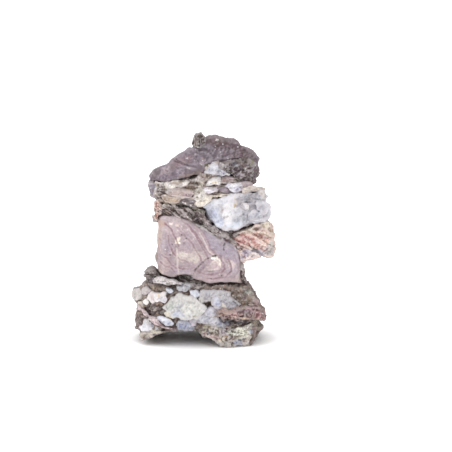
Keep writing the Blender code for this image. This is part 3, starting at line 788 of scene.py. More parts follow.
LENSES = [
    # outline, y of the front, its lean across and up, depth of relief, ground colour
    ([(-51, 152), (-48, 151.5), (-45, 149), (-43.5, 145), (-43.5, 140), (-44.3, 136), (-43.5, 133.5),
      (-46, 136), (-49, 139.5), (-51, 145), (-52, 148)], -27, -0.7, 0.1, SMOOTH_SLATE, (122, 116, 128)),
    ([(-36.4, 149), (-33, 151.5), (-26, 152.5), (-20, 152), (-15, 153), (-12.4, 151), (-17, 148),
      (-20, 146), (-24, 146.5), (-31, 144.8), (-35, 146)], -37.0, -0.1, -0.2, BROKEN_QUARTZ,
     (218, 210, 206)),
    ([(-36, 141.5), (-31, 144), (-25, 146), (-17, 145.5), (-11, 143.5), (-8.5, 140), (-12, 137.2),
      (-18, 135.8), (-25, 137.5), (-31, 138.5)], -37.4, -0.1, 0.25, SMOOTH_SLATE,
     (184, 166, 163)),
    ([(-39, 138), (-36, 140), (-31, 138), (-25, 137), (-20, 135.5), (-21, 133), (-27, 131), (-33, 132.5),
      (-38, 134.5)],
     -37.2, -0.1, 0.1, WEATHERED_SLATE, (162, 143, 130)),
    ([(-25, 135), (-20.4, 136.3), (-15, 137), (-9.7, 135), (-4.4, 132.3), (-4.8, 129.7), (-8, 128),
      (-13.3, 129.5), (-17.7, 131.4), (-22, 132.8)], -37.8, -0.05, 0.3, SMOOTH_SLATE, (78, 66, 73)),
    ([(-9.7, 144), (-4.4, 146), (1, 145), (2.5, 140.5), (5.4, 139.4), (2.7, 136), (-2.6, 130.6),
      (-6.2, 133), (-8, 137.7)], -37.6, 0, 0.1, WEATHERED_SLATE, (206, 200, 194)),
    ([(2.7, 148), (5.4, 152), (11.6, 155.4), (16, 155.4), (17.8, 152), (16, 149), (9.8, 148.8),
      (5.4, 147.4)], -37.8, 0, 0.1, BROKEN_QUARTZ, (212, 208, 207)),
    ([(0, 144), (5.4, 146.5), (12.5, 146.5), (15, 145), (13.4, 142), (7.2, 141), (1, 139.4)],
     -37.8, 0, 0.2, SMOOTH_SLATE, (214, 208, 218)),
    ([(17.8, 152), (18.7, 155.4), (22.3, 157.2), (28.5, 156.3), (34.7, 153.2), (35.6, 151),
      (29.4, 150.5), (23, 149), (19.6, 149)], -37.4, 0.1, 0.1, WEATHERED_SLATE, (150, 128, 131)),
    ([(21.4, 147.4), (25, 149.7), (30, 150.5), (35.6, 151), (37.8, 147.4), (37.8, 144), (34.7, 141.7),
      (29.4, 142), (25.4, 144)], -38.5, 0.15, 0.1, BROKEN_QUARTZ, (200, 197, 210)),
    ([(8, 166), (9.8, 169), (12.5, 168.7), (15, 165), (20, 161.5), (24.5, 158.6), (18.7, 158),
      (11.6, 158.6), (7.2, 159.6), (3.0, 161.2), (7.2, 163.4)], -39.5, 0.1, 0.35, BROKEN_QUARTZ,
     (182, 182, 192)),
    ([(14.3, 147.4), (21.4, 146.5), (25.8, 142.5), (24, 140.3), (18.7, 141.2), (14.3, 142.5)],
     -37.8, 0, 0.2, SMOOTH_SLATE, (132, 116, 130)),
    ([(-8, 130.6), (-2.6, 133), (2.7, 137.7), (8, 139.4), (17, 140.3), (24, 140), (28.5, 140.3),
      (29.8, 138), (24, 137.2), (18.7, 137.7), (9.8, 136.3), (6.3, 133), (1, 129.7), (-4.4, 128)],
     -38.3, 0, 0.2, WEATHERED_SLATE, (220, 210, 196)),
    ([(37.4, 144.8), (44.5, 147.4), (54.3, 146.5), (58.7, 144.8), (57.8, 142.5), (51.6, 142.5),
      (45.4, 142), (38.3, 141)], -37.0, 0.5, 0.2, WEATHERED_SLATE, (206, 192, 184)),
    ([(35.6, 151), (40, 152.3), (46.3, 151), (46.3, 147.4), (40, 145.7)], -36, 0.3, 0.1,
     WEATHERED_SLATE, (160, 142, 148))]
LENS_STAINS = [
    (-45.5, 142, 1.0, 4, -20, (206, 202, 206)), (-50, 148, 2, 5, 0, (118, 108, 122)),
    (-24, 150, 6, 1.2, 5, (168, 150, 136)), (-28, 147, 2.5, 1, 0, (232, 226, 216)),
    (-33, 142, 3, 1.6, 20, (186, 178, 178)), (-24, 143, 5, 0.9, 8, (200, 184, 180)),
    (-13, 138.5, 5, 1.6, -12, (132, 112, 118)), (-28, 134, 4, 1, 0, (196, 172, 146)),
    (-17, 131, 3, 0.6, -20, (190, 182, 188)), (-14, 134.5, 5, 1.2, -12, (88, 73, 82)),
    (-4, 141, 1.2, 0.8, 0, (120, 108, 96)), (-1, 138, 1.2, 0.7, 0, (134, 122, 108)),
    (-5, 136, 1.4, 0.7, 0, (126, 112, 96)), (-3, 143, 2.2, 1, 0, (200, 196, 176)),
    (12, 150, 4, 0.9, 10, (214, 200, 176)), (5, 143, 3, 1.2, 0, (228, 224, 230)),
    (20, 153, 3, 1, 0, (150, 122, 118)), (29, 153, 5, 1.3, -20, (160, 132, 140)),
    (29, 148, 4, 2.4, 0, (232, 229, 236)), (33, 144, 3, 1.5, -20, (196, 192, 212)),
    (11.5, 165, 2.6, 3.6, 0, (196, 195, 203)), (17, 160, 4, 1.6, -20, (152, 149, 164)),
    (0, 133, 4, 0.8, 30, (166, 150, 134)),
    (20, 138.6, 6, 0.7, 0, (170, 150, 136)), (52, 144.5, 4, 0.8, 0, (228, 220, 206))]


def lump(outline, y, across, up, back=-10):
    """A lens or lump in a bed: one broad facet in front, three that lean back to its edges, and two
    that meet in a blunt edge behind."""
    half_x, half_w = np.ptp(outline, axis=0) / 2
    front = [(y, across, up), (y - 0.4, across + 1.7 / half_x, up - 0.7 / half_w),
             (y - 0.4, across - 1.5 / half_x, up - 0.8 / half_w), (y - 0.4, across, up + 1.5 / half_w)]
    behind = [(back - 1, -0.2, 5 / half_w), (back - 3, 0.2, -6 / half_w)]
    return block(outline, (), front, behind, (1.4, 1.4), 0.4, 0.8)


crumbly = rock_finish("crumbly veined schist", (84, 66, 54), (224, 214, 202), dark_share=0.45,
                      pale_share=0.3, fineness=1.2, grain=0.9, specks=0.22, soil_and_shade=0.75, rub_and_highlight=0.3,
                      lean=0.05)
vein_rock = rock_finish("folded vein rock", (140, 118, 104), (228, 220, 214), dark_share=0.45,
                        pale_share=0.25, fineness=1.3, grain=0.5, specks=0.12, soil_and_shade=0.6, rub_and_highlight=0.2)
BAND_FLECKS = [((128, 104, 94), 6, 0.3), ((214, 204, 194), 5, 0.45), ((92, 74, 66), 4, 0.6),
               ((158, 134, 134), 8, 0.45)]
band_block = block(UPPER_BAND, BAND_PLAN, [(-36, 0, -0.08)], [(30, 0.05, 0.1)])
stone_piece("upper_band", [rough_block(band_block, SPLINTERY_SCHIST, 0.72, 0.05)], [band_block], crumbly,
            tint=stained((160, 143, 135), BAND_STAINS, 300, flecks=BAND_FLECKS))

LENS_FLECKS = [((142, 118, 100), 5, 0.7), ((226, 220, 214), 4, 0.65)]
lens_blocks = [lump(outline, y, across, up) for outline, y, across, up, *_ in LENSES]
lens_grids = [rough_block(stone, roughness, 0.5, evened=1)
              for stone, (*_, roughness, _) in zip(lens_blocks, LENSES)]
lens_grounds = ground_of_each(lens_grids, [shade for *_, shade in LENSES])
stone_piece("veins_of_the_band", lens_grids, lens_blocks, vein_rock,
            tint=stained(lens_grounds, LENS_STAINS, 310, (0.08, 0.12), LENS_FLECKS))


# The quartz block: one big lump of milky quartz, broken out at the right, with four knobs that stand
# a little out of it. Its faces are cobbled where grains grew against each other, blue-white at the
# left, white in the middle and grey at the right.

QUARTZ_PLAN = [(-4, -36), (6, -43), (30, -44), (56, -37), (67, -16), (61, 12), (30, 20), (-4, 16)]
QUARTZ_BLOCK = [(-0.5, 128.5), (3, 132), (9, 135.5), (20, 138), (30, 140), (38, 142), (48, 143), (57, 146),
                (59, 139), (60, 133), (64, 127), (64, 121), (60, 114), (52, 112), (43, 109), (35, 107.5),
                (24, 105.5), (13.5, 108), (8, 113.5), (2.5, 121)]
QUARTZ_STAINS = [
    (8, 126, 8, 9, -50, (208, 210, 224)), (18, 133, 12, 5, 10, (208, 208, 216)),
    (24, 120, 9, 12, -10, (224, 221, 225)), (14, 116, 5, 8, 30, (194, 199, 217)),
    (46, 137, 14, 6, 10, (154, 150, 157)), (40, 130, 9, 6, 0, (192, 187, 192)),
    (56, 122, 8, 8, 0, (182, 178, 188)), (48, 118, 8, 4, 10, (166, 164, 174)),
    (36, 115, 8, 4, -5, (180, 182, 190)), (30, 110, 9, 3, 5, (204, 209, 220)),
    (52, 113, 9, 2.5, 10, (196, 196, 206)), (31, 134, 0.8, 4, 8, (212, 198, 172)),
    (30.5, 129, 1.0, 2.4, 0, (190, 166, 130)), (44, 133, 3, 2.2, 0, (140, 136, 143)),
    (18, 124, 3, 1.0, 40, (186, 176, 172)), (22, 118, 3, 1.0, 10, (180, 176, 176)),
    (44, 127, 4, 3.5, 0, (214, 208, 210)), (38, 122, 1.2, 3, 20, (156, 154, 163)),
    (57, 140, 3, 4, 0, (190, 180, 176)), (35, 141, 8, 1.0, 5, (166, 156, 148)),
    (62, 124, 2.4, 5, 0, (196, 192, 200)), (12, 108, 7, 2, -45, (206, 210, 222))]


def quartz_finish(name, clear, soil_and_shade=0.3):
    """A milky quartz finish: its stains, clouds of clearer quartz, pale healed cracks, soil colour in the
    hollows for old soil and painted shade, and paler rims for wear and a painted highlight, with a waxy skin."""
    finish, tree, shader, where, tint = new_finish(name)
    clouds = placed(tree, "TexNoise", Vector=where, Scale=110, Detail=4, Roughness=0.62).outputs[0]
    clearer = mixed(tree, product_of(tree, banded(tree, clouds, 0.5, 0.66), 0.5), tint,
                    (*colour(*clear), 1))
    sway = placed(tree, "TexNoise", Vector=where, Scale=70, Detail=3).outputs["Color"]
    swayed = placed(tree, "VectorMath", {"operation": "ADD"}, _0=where,
                    _1=sized(tree, sway, (0.012, 0.012, 0.012))).outputs[0]
    cells = placed(tree, "TexVoronoi", {"feature": "DISTANCE_TO_EDGE"}, Vector=swayed, Scale=110)
    healed = product_of(tree, banded(tree, cells.outputs["Distance"], 0.06, 0.0), 0.25)
    veined = mixed(tree, healed, clearer, (0.86, 0.86, 0.88, 1))
    grains = using(tree, GRAIN, Vector=where, Colour=veined, Strength=0.12)
    aged_and_shaded = using(tree, WEATHERING_AND_PAINTED_LIGHT, Vector=where, Colour=grains["Colour"], Soil=(*colour(112, 103, 98), 1),
                 Soil_Share=soil_and_shade, Rub_Share=0.3)
    rough = banded(tree, clouds, 0.3, 0.7, 0.32, 0.62)
    height = sum_of(tree, grains["Height"], product_of(tree, cells.outputs["Distance"], 0.6))
    skin(tree, shader, aged_and_shaded["Colour"], rough, height, 0.0006, 0.5)
    return finish


milky_quartz = quartz_finish("milky quartz", (160, 164, 180))
QUARTZ_FLECKS = [((146, 145, 155), 7, 0.8)]
QUARTZ_KNOBS = [
    # outline, y of the front, its lean across and up, ground colour
    ([(35.5, 129), (38, 132.5), (42.5, 132), (45.5, 129), (44, 125), (40, 124)],
     -42.6, 0.1, 0.2, (196, 191, 195)),
    ([(50, 131), (54, 134.5), (60, 132), (62.5, 126), (58, 121.5), (51.5, 124)],
     -37.6, 0.35, 0.1, (190, 187, 196)),
    ([(43, 121), (49, 125), (56, 122), (57, 115.5), (48, 113.5), (42, 116)],
     -40.2, 0.3, -0.1, (194, 192, 201)),
    ([(52, 143), (57, 144), (60, 138), (57, 134), (52, 136)],
     -36.6, 0.35, 0.2, (176, 171, 176))]
quartz_block = block(QUARTZ_BLOCK, QUARTZ_PLAN, [(-41, -0.18, 0.12), (-40, 0.3, -0.05)],
                     [(14, 0.1, 0.1)])
knob_blocks = [lump(outline, y, across, up, -20) for outline, y, across, up, _ in QUARTZ_KNOBS]
quartz_grids = [rough_block(quartz_block, COBBLED_QUARTZ, 0.58)]
quartz_grids += [rough_block(stone, BROKEN_QUARTZ, 0.6) for stone in knob_blocks]
quartz_grounds = ground_of_each(quartz_grids, [(196, 193, 201)] + [shade for *_, shade in QUARTZ_KNOBS])
stone_piece("quartz_block", quartz_grids, [quartz_block] + knob_blocks, milky_quartz,
            tint=stained(quartz_grounds, QUARTZ_STAINS, 400, (0.24, 0.05), QUARTZ_FLECKS))


# The dark seam: splintered mica schist that slopes down to the right, between the quartz above it and
# the smooth block below. It parts along its layers into slivers, some of them pale.

SEAM_PLAN = [(-48, -10), (-43, -28), (-12, -38), (30, -38), (45, -26), (46, 12), (22, 28), (-15, 33),
             (-42, 22)]
DARK_SEAM = [(-44, 132), (-30, 130), (-16, 130), (-6, 126), (0, 126), (6, 116), (15, 107), (25, 101),
             (32, 96), (40, 89), (44, 83), (38, 83), (30, 88), (14, 97), (-2, 107), (-14, 113),
             (-26, 116), (-42, 117), (-46, 123), (-46, 129)]
SEAM_STAINS = [
    (-30, 126, 12, 3, 0, (132, 112, 104)), (-18, 120, 10, 3, -20, (150, 134, 134)),
    (0, 113, 12, 3, -36, (156, 142, 146)), (10, 104, 12, 2, -36, (96, 82, 80)),
    (24, 95, 10, 2, -36, (120, 104, 110)), (-12, 126, 6, 1.6, -25, (160, 150, 140)),
    (-2, 118, 7, 3, -38, (178, 163, 162)), (-24, 127, 6, 0.9, -8, (40, 34, 34)),
    (-10, 120, 7, 0.9, -30, (44, 38, 38)), (4, 110, 8, 0.8, -36, (36, 30, 32)),
    (36, 88, 8, 1.2, -38, (54, 44, 46)), (-36, 122, 5, 2, 0, (150, 130, 120))]
SLIVERS = [
    # outline, y of the front, its lean across and up, depth of relief, ground colour
    ([(-4.4, 114), (1, 111.5), (8, 107.5), (15, 102.6), (18, 99.5), (14, 100.6), (6, 104.8),
      (-1, 109.6), (-5, 112.6)], -39, 0.1, 0, SPLINTERY_SCHIST, (146, 138, 141)),
    ([(-24, 121), (-16, 119.5), (-8, 116), (-4, 113.5), (-10, 114.5), (-18, 117.5), (-25, 118.5)],
     -38.5, 0, 0, SPLINTERY_SCHIST, (172, 152, 154)),
    ([(-12.4, 129), (-6.2, 127.2), (0, 124), (3, 120.5), (-1.5, 122), (-9.7, 125)], -39, 0, 0.1,
     SPLINTERY_SCHIST, (186, 182, 170)),
    ([(-40, 129), (-34, 130), (-27, 129.5), (-23, 126.5), (-30, 126), (-38, 126.5)], -38, -0.1, 0,
     ROUGH_SCHIST, (140, 122, 104)),
    ([(1, 119), (6, 116), (12, 109), (17, 103.6), (12, 105), (5, 111), (0, 116)], -40, 0.1, 0,
     SPLINTERY_SCHIST, (124, 108, 112)),
    ([(-45, 133), (-41, 133.5), (-39, 129), (-39.5, 123), (-42.5, 117), (-46, 117.5), (-46.5, 123),
      (-45.5, 129)], -35, -0.4, 0.1, ROUGH_SCHIST, (188, 142, 128)),
    ([(-47.5, 119), (-44, 121), (-41.5, 118.5), (-43, 116), (-47, 116)], -30, -0.4, 0, ROUGH_SCHIST,
     (84, 70, 66)),
    ([(35, 83), (37.5, 79), (37, 72), (39, 66), (41, 60), (42, 53), (38, 56), (36, 64), (34, 72)],
     -31, 0.3, 0, CRUMBLY_SCHIST, (112, 98, 96))]

seam_schist = rock_finish("slivered seam schist", (52, 40, 40), (190, 174, 170), dark_share=0.6,
                          pale_share=0.6, fineness=1.1, grain=0.8, specks=0.12, soil_and_shade=0.75, rub_and_highlight=0.4,
                          lean=0.55)
SEAM_FLECKS = [((60, 48, 46), 5, 0.45), ((172, 160, 156), 4, 0.55), ((140, 112, 90), 6, 0.7)]
seam_block = block(DARK_SEAM, SEAM_PLAN, [(-35.5, 0, 0)], [(28, 0, 0.1)])
sliver_blocks = [lump(outline, y, across, up) for outline, y, across, up, *_ in SLIVERS]
seam_grids = [rough_block(seam_block, SLIVERED_SEAM, 0.7, 0.6)]
seam_grids += [rough_block(stone, roughness, 0.6, 0.6)
               for stone, (*_, roughness, _) in zip(sliver_blocks, SLIVERS)]
seam_grounds = ground_of_each(seam_grids, [(160, 144, 142)] + [shade for *_, shade in SLIVERS])
stone_piece("dark_seam", seam_grids, [seam_block] + sliver_blocks, seam_schist,
            tint=stained(seam_grounds, SEAM_STAINS, 500, flecks=SEAM_FLECKS))


# The right ledge: a bed of pink feldspar and lilac schist that juts out at the right. Its layers slope
# down to the right and break off in steps, cream along the top and grey and crumbly at the tip.

LEDGE_PLAN = [(14, -30), (45, -39), (64, -31), (70, -6), (65, 18), (42, 28), (14, 20)]
RIGHT_LEDGE = [(22, 98), (32, 104), (41, 108), (57, 113), (62, 115), (66, 112), (68, 108), (68, 96),
               (67, 86), (63, 80), (55, 82), (48, 78), (38, 76), (33, 84)]
LEDGE_STAINS = [
    (34, 103, 10, 3, 20, (150, 128, 116)), (44, 106, 8, 3, 10, (196, 182, 168)),
    (60, 111, 6, 4, -20, (222, 208, 188)), (52, 107, 5, 2, 10, (120, 100, 92)),
    (38, 99, 10, 3, -5, (196, 148, 140)), (50, 101, 9, 2.4, -5, (216, 170, 156)),
    (46, 96, 14, 2.6, -20, (188, 136, 132)), (58, 95, 9, 3, -25, (224, 186, 172)),
    (36, 94, 8, 2.5, -25, (176, 124, 120)), (62, 101, 5, 4, -30, (212, 186, 170)),
    (50, 89, 12, 1.8, -28, (206, 160, 150)), (34, 90, 8, 2.0, -35, (112, 82, 82)),
    (44, 84, 8, 4, -10, (164, 151, 166)), (54, 84, 7, 3, 0, (180, 169, 181)),
    (40, 79, 6, 3, 0, (166, 153, 168)), (63, 86, 5, 5, 0, (168, 158, 158)),
    (65, 91, 3, 4, 0, (196, 188, 184)), (66, 104, 2.4, 5, 0, (190, 168, 150)),
    (56, 103, 4, 0.9, -10, (240, 226, 206)), (57, 99, 8, 1.4, -20, (158, 112, 110)),
    (44, 92, 8, 1.0, -30, (160, 112, 108)), (48, 88.5, 6, 0.8, -28, (44, 34, 36)),
    (56, 92, 6, 0.8, -30, (238, 214, 202)), (30, 100, 5, 2, 25, (96, 80, 76))]
LEDGE_CRACKS = [([(26, 96), (34, 91), (42, 88), (48, 86), (54, 84)], 1.3),
                ([(34, 101), (44, 103), (54, 102), (64, 98)], 1.2)]

pink_schist = rock_finish("pink feldspar schist", (128, 88, 84), (236, 216, 204), dark_share=0.08,
                          pale_share=0.2, fineness=0.5, grain=0.6, specks=0.10, soil_and_shade=0.6, rub_and_highlight=0.35,
                          relief=0.0003, lean=0.42)
LEDGE_FLECKS = [((226, 206, 192), 6, 0.5), ((150, 112, 106), 5, 0.6), ((120, 104, 96), 4, 0.75)]
ledge_block = block(RIGHT_LEDGE, LEDGE_PLAN, [(-38, 0.1, 0.12)], [(22, 0, 0.2)])
stone_piece("right_ledge", [rough_block(ledge_block, PINK_LEDGE, 0.62, 0.45, LEDGE_CRACKS)],
            [ledge_block], pink_schist, tint=stained((204, 176, 166), LEDGE_STAINS, 600, flecks=LEDGE_FLECKS))


# The smooth block: pale mauve slate that was folded while it was soft. Water has worn it smooth, and
# its folded layers show as fine dark lines round a pale heart, beside a plain lavender part.

MAUVE_PLAN = [(-48, -8), (-45, -28), (-38, -36), (0, -37), (34, -35), (41, -20), (44, 4), (34, 22),
              (14, 31), (-12, 33), (-34, 26), (-45, 12)]
MAUVE_BLOCK = [(-43, 119), (-26, 119), (-14, 116), (-2, 110), (14, 100), (32, 90), (37, 86), (35.6, 79),
               (37.5, 71), (40, 64), (38.7, 61), (43, 52), (32, 55), (18, 55.5), (8, 54), (-1, 57),
               (-6, 59), (-10, 61.5), (-16, 63), (-22, 62.5), (-29, 60.5), (-40, 63), (-43, 68),
               (-46, 79), (-44, 90), (-44, 98), (-42, 106)]
FOLD_LINES = [
    [(-21, 116), (-12.5, 109), (-8, 104), (-3, 96.5), (1, 90), (6, 84), (10, 80)],
    [(-6, 110), (0, 104), (4.8, 96), (7.2, 88), (12, 83), (17.5, 80.5)],
    [(-11.5, 107), (-6, 99), (-2, 91.5), (1, 86), (4.5, 80), (5.5, 76.5)],
    [(-24, 108), (-17, 100), (-11, 94), (-7, 87), (-2.5, 80), (-1, 75)],
    [(15.5, 79.5), (18, 76.5), (20.5, 73), (21, 68.5), (17.5, 65), (9, 63), (2, 63.2), (-5, 66)],
    [(-39, 82), (-34, 78.5), (-30.5, 73.5), (-26, 69.5), (-18, 68.5), (-11, 68.5), (-8, 70)],
    [(-40, 75), (-36, 71), (-30, 69.5), (-27, 66)],
    [(24, 78), (27, 72), (27, 66), (22, 61), (10, 59), (0, 60)],
    [(-33, 100), (-32, 92), (-28, 84), (-22, 78), (-14, 75)],
    [(-36, 112), (-30, 106), (-26, 98), (-23, 90)],
    [(30, 82), (33, 74), (34, 67), (30, 60)]]
PALE_LINES = [[(-25, 88), (-24, 80), (-24, 70), (-23, 62)], [(-3, 103), (2, 94), (5, 86), (10, 82)],
              [(12, 79), (15, 72), (14, 68), (6, 67)]]
LAVENDER_PART = [(-3, 108), (3, 104.5), (10, 103), (19, 97), (28, 92.5), (33, 88), (36, 83), (34, 79),
                 (26, 78.5), (19, 80.5), (12.5, 83.5), (8, 88), (5.4, 93.5), (3.6, 99.5), (-2, 106)]
MAUVE_FLECKS = [((196, 182, 182), 7, 0.62), ((148, 129, 137), 8, 0.6), ((222, 210, 206), 3, 0.85)]
MAUVE_STAINS = [
    (-28, 108, 12, 7, 0, (186, 169, 173)),
    (-14, 94, 8, 8, 0, (174, 157, 164)), (-12, 80, 13, 6, 5, (192, 178, 175)),
    (-19, 83, 4, 3, 0, (208, 197, 190)), (-8, 78, 5, 3, 0, (204, 191, 185)),
    (12, 76, 4, 4, 0, (206, 190, 187)), (10, 70, 7, 3, 0, (192, 172, 175)),
    (2, 58, 16, 3, 0, (180, 160, 165)), (-38, 70, 8, 6, 30, (182, 162, 163)),
    (-20, 66, 10, 2, 0, (166, 152, 165)), (-42, 100, 3, 14, 0, (176, 156, 150)),
    (-40, 112, 5, 4, 0, (176, 150, 140)), (-34, 90, 6, 6, 0, (164, 149, 158)),
    (30, 68, 8, 8, 0, (172, 158, 165)), (36, 58, 6, 3, 0, (180, 161, 159)),
    (28, 72, 3, 5, 30, (206, 190, 190)), (-24, 96, 3, 2, 30, (230, 218, 204)),
    (-22, 94, 1.6, 1.2, 0, (238, 228, 212)), (-30, 112, 2, 1.2, 0, (230, 216, 208)),
    (-24, 110, 1.6, 1, 0, (228, 212, 202)), (11, 79, 3.2, 2.2, -20, (240, 234, 226)),
    (16, 75, 1.4, 4, 10, (232, 220, 212)), (-40, 66, 4, 2, -30, (216, 196, 186)),
    (-44, 84, 1.6, 8, 0, (136, 118, 112)), (38, 62, 2, 8, 10, (120, 108, 104)),
    (-10, 103, 8, 1.2, -50, (196, 182, 186)), (32, 76, 3, 2, 0, (168, 154, 170)),
    # Painted shade: a dark band along the foot of the block, over the gap above the thin ledge.
    (-17, 61.6, 8, 1.2, 0, (44, 36, 36))]
MAUVE_CRACKS = [([(11, 81), (6, 79), (2, 76.5), (-1.6, 74), (-5, 70), (-8, 66), (-8.8, 61)], 1.1),
                ([(21.5, 95), (20, 90), (20, 86)], 0.9), ([(33, 84), (34, 80)], 0.8)]
PITS = [((12, 81), 1.6), ((-20, 101), 0.9), ((-15.5, 97.5), 0.8), ((-31, 82), 0.8), ((8, 59), 0.7),
        ((-29, 92), 0.7), ((18, 62), 0.7)]


def pit_share(points, pits):
    """How deep each point of the front lies in a round pit, 0 to 1. A pit is its place and radius."""
    share = np.zeros(len(points))
    for (x, w), radius in pits:
        away = np.hypot(points[:, 0] - x, height_on_face(points) - w)
        share = np.maximum(share, np.clip(1.3 - away / radius, 0, 1))
    return share * on_front(points)


def line_share(points, lines, reach):
    """How near each point of the front is to the nearest of some lines: 1 on one, 0 past the reach."""
    nearest = np.full(len(points), 1e9)
    for line in lines:
        nearest = np.minimum(nearest, line_distance(points, line))
    return np.clip(1.25 - nearest / reach, 0, 1) * on_front(points)


def folded_tint(points):
    """The stains of the smooth block, with its fold lines drawn in and pits and cracks darkened."""
    shades = stained((170, 153, 158), MAUVE_STAINS, 700, (0.05, 0.06), MAUVE_FLECKS,
                     [(LAVENDER_PART, (162, 151, 163))])(points)
    broken = 0.55 + 0.45 * soft_noise(points, 6, 702)
    nearest = np.minimum.reduce([line_distance(points, line) for line in FOLD_LINES])
    ripple = np.cos(2 * np.pi * nearest / 2.6) * np.clip(1 - nearest / 9, 0, 1)
    plain = outline_distance(points[:, 0], height_on_face(points), LAVENDER_PART) > -0.5
    shades = shades * (1 - 0.09 * ripple * plain * on_front(points))[:, None]
    dark = (line_share(points, FOLD_LINES, 1.1) * np.clip(broken, 0.3, 0.85))[:, None]
    shades = shades * (1 - dark) + colour(132, 100, 110) * dark
    pale = (0.6 * line_share(points, PALE_LINES, 0.9))[:, None]
    shades = shades * (1 - pale) + colour(226, 212, 206) * pale
    dots = np.clip(5 * soft_noise(points, 1.7, 703) + 0.2, 0.04, 1)
    opened = np.maximum(crack_share(points, MAUVE_CRACKS) * dots, pit_share(points, PITS))[:, None]
    return shades * (1 - opened) + colour(30, 24, 26) * opened


mauve_slate = rock_finish("smooth mauve slate", (160, 140, 148), (214, 198, 202), dark_share=0.12,
                          pale_share=0.15, grain=0.30, specks=0.05, speck_colour=(236, 224, 216),
                          soil_and_shade=0.75, rub_and_highlight=0.15, roughness=0.72, relief=0.0003)
mauve_block = block(MAUVE_BLOCK, MAUVE_PLAN, [(-36, 0, -0.04)], [(32, 0.4, 0.05), (30, -0.3, 0.12)])
stone_piece("smooth_block", [rough_block(mauve_block, WORN_SLATE, 0.62, 0, MAUVE_CRACKS, 0.5)],
            [mauve_block], mauve_slate, tint=folded_tint)


# The thin ledge: a splintered bed that sticks out at the left below the smooth block, dark and crumbly with
# one smooth grey plate in it and a shard left at its tip. The gap above it is deep, and near-black stains
# paint the shadow in it.

THIN_PLAN = [(-55, -10), (-49, -32), (-22, -41), (2, -41), (14, -30), (10, 24), (-36, 28), (-54, 8)]
THIN_LEDGE = [(-54, 66), (-51, 70), (-46, 67), (-43, 62), (-34, 59), (-27, 56.5), (-12, 55.5), (-1, 54),
              (8, 52), (-10, 48), (-36, 49), (-54, 53), (-55, 60)]
THIN_STAINS = [
    (-49, 62, 5, 3, 0, (84, 72, 70)), (-12, 54, 8, 3, -10, (136, 128, 130)),
    # Painted shadow: a near-black stain on the top of the ledge, in the gap under the smooth block.
    (-18, 59.5, 10, 2.2, 0, (24, 20, 19)),
    (-16, 52, 5, 3, 0, (150, 152, 160)), (-6, 56, 3, 1.2, 0, (196, 190, 196)),
    (-48, 56, 6, 3, -30, (150, 136, 144)), (-52, 54, 4, 2, 0, (166, 150, 154)),
    (-36, 52, 14, 1.2, -3, (52, 44, 42)), (0, 53, 8, 1.6, 0, (120, 104, 96))]
thin_block = block(THIN_LEDGE, THIN_PLAN, [(-40, 0.02, 0.3)], [(26, 0, 0)])
plate_block = lump([(-46.6, 59), (-43.5, 60.5), (-37, 60.5), (-30, 59), (-24, 56.5), (-18, 54.5),
                    (-26, 53.8), (-33, 54), (-41, 55), (-45.2, 56)], -44, 0, 0.15)
shard_block = lump([(-55, 61.5), (-54, 65), (-51, 70.5), (-49.5, 68), (-47, 67.5), (-45, 62),
                    (-50, 59.5)], -36, -0.3, 0.5)
THIN_FLECKS = [((60, 48, 44), 3, 0.3), ((150, 136, 130), 2.6, 0.5)]
thin_blocks = [thin_block, plate_block, shard_block]
thin_grids = [rough_block(stone, roughness, 0.65)
              for stone, roughness in zip(thin_blocks, (CRUMBLY_SCHIST, SMOOTH_SLATE, SPLINTERY_SCHIST))]
thin_grounds = ground_of_each(thin_grids, [(100, 88, 86), (204, 197, 198), (88, 76, 72)])
stone_piece("thin_ledge", thin_grids, thin_blocks, rough_schist,
            tint=stained(thin_grounds, THIN_STAINS, 800, flecks=THIN_FLECKS))


# The base: the widest bed, crumbly brown schist that is packed with broken quartz. Its matrix is dark
# and grainy, redder at the left, and it grades to pink and purple bands at the right.

BASE_PLAN = [(-70, -4), (-64, -26), (-50, -38), (-15, -44), (22, -45), (50, -39), (62, -16), (60, 14),
             (44, 36), (8, 45), (-34, 41), (-62, 22)]
BASE = [(-60, 49), (-56, 55), (-36, 53), (-17, 51), (12, 53), (42, 53), (46, 50), (50, 43), (54, 37),
        (57, 29), (60, 22), (53, 18), (57, 11), (52, 5), (47, -6), (45, -16), (36, -16), (24, -6),
        (11, 2), (3, 6), (-3, 11), (-12, 12), (-26, 12), (-41, 7), (-51, 1), (-58, 0), (-62, 7),
        (-66, 11), (-66, 19), (-65, 31), (-66, 36), (-68, 42), (-67, 47)]
BASE_STAINS = [
    (-46, 28, 12, 7, -15, (84, 69, 69)), (-38, 24, 8, 5, 0, (80, 71, 64)),
    (-54, 38, 6, 6, 0, (150, 138, 130)), (-58, 34, 4, 3, 0, (196, 180, 158)),
    (-44, 50, 14, 2.4, 0, (128, 108, 92)), (-24, 49, 10, 3, 0, (120, 110, 108)),
    (0, 51, 12, 2, 0, (112, 90, 78)), (20, 50.5, 17, 3, 0, (96, 73, 61)),
    (36, 49, 8, 4, -20, (84, 68, 62)), (40, 43, 7, 6, -30, (114, 102, 98)),
    (44, 46, 4, 2, 0, (150, 156, 146)), (46, 38, 6, 5, 0, (126, 108, 96)),
    (52, 34, 3, 8, 20, (176, 148, 150)), (-2, 40, 4, 6, 20, (122, 106, 88)),
    (2, 35, 5, 3, -30, (116, 100, 84)), (20, 27, 8, 3, 0, (164, 138, 116)),
    (-60, 16, 5, 8, 0, (104, 88, 86)), (-10, 22, 6, 2, 0, (150, 136, 104)),
    (28, 18, 14, 3, -4, (70, 64, 70)), (20, 17, 6, 3, -20, (96, 98, 116)),
    (-18, 15, 12, 5, 0, (84, 74, 70)), (50, 14, 6, 5, 0, (150, 140, 124)),
    (-52, 46, 5, 3, 0, (110, 96, 84)), (-40, 36, 9, 2, -10, (120, 104, 92))]

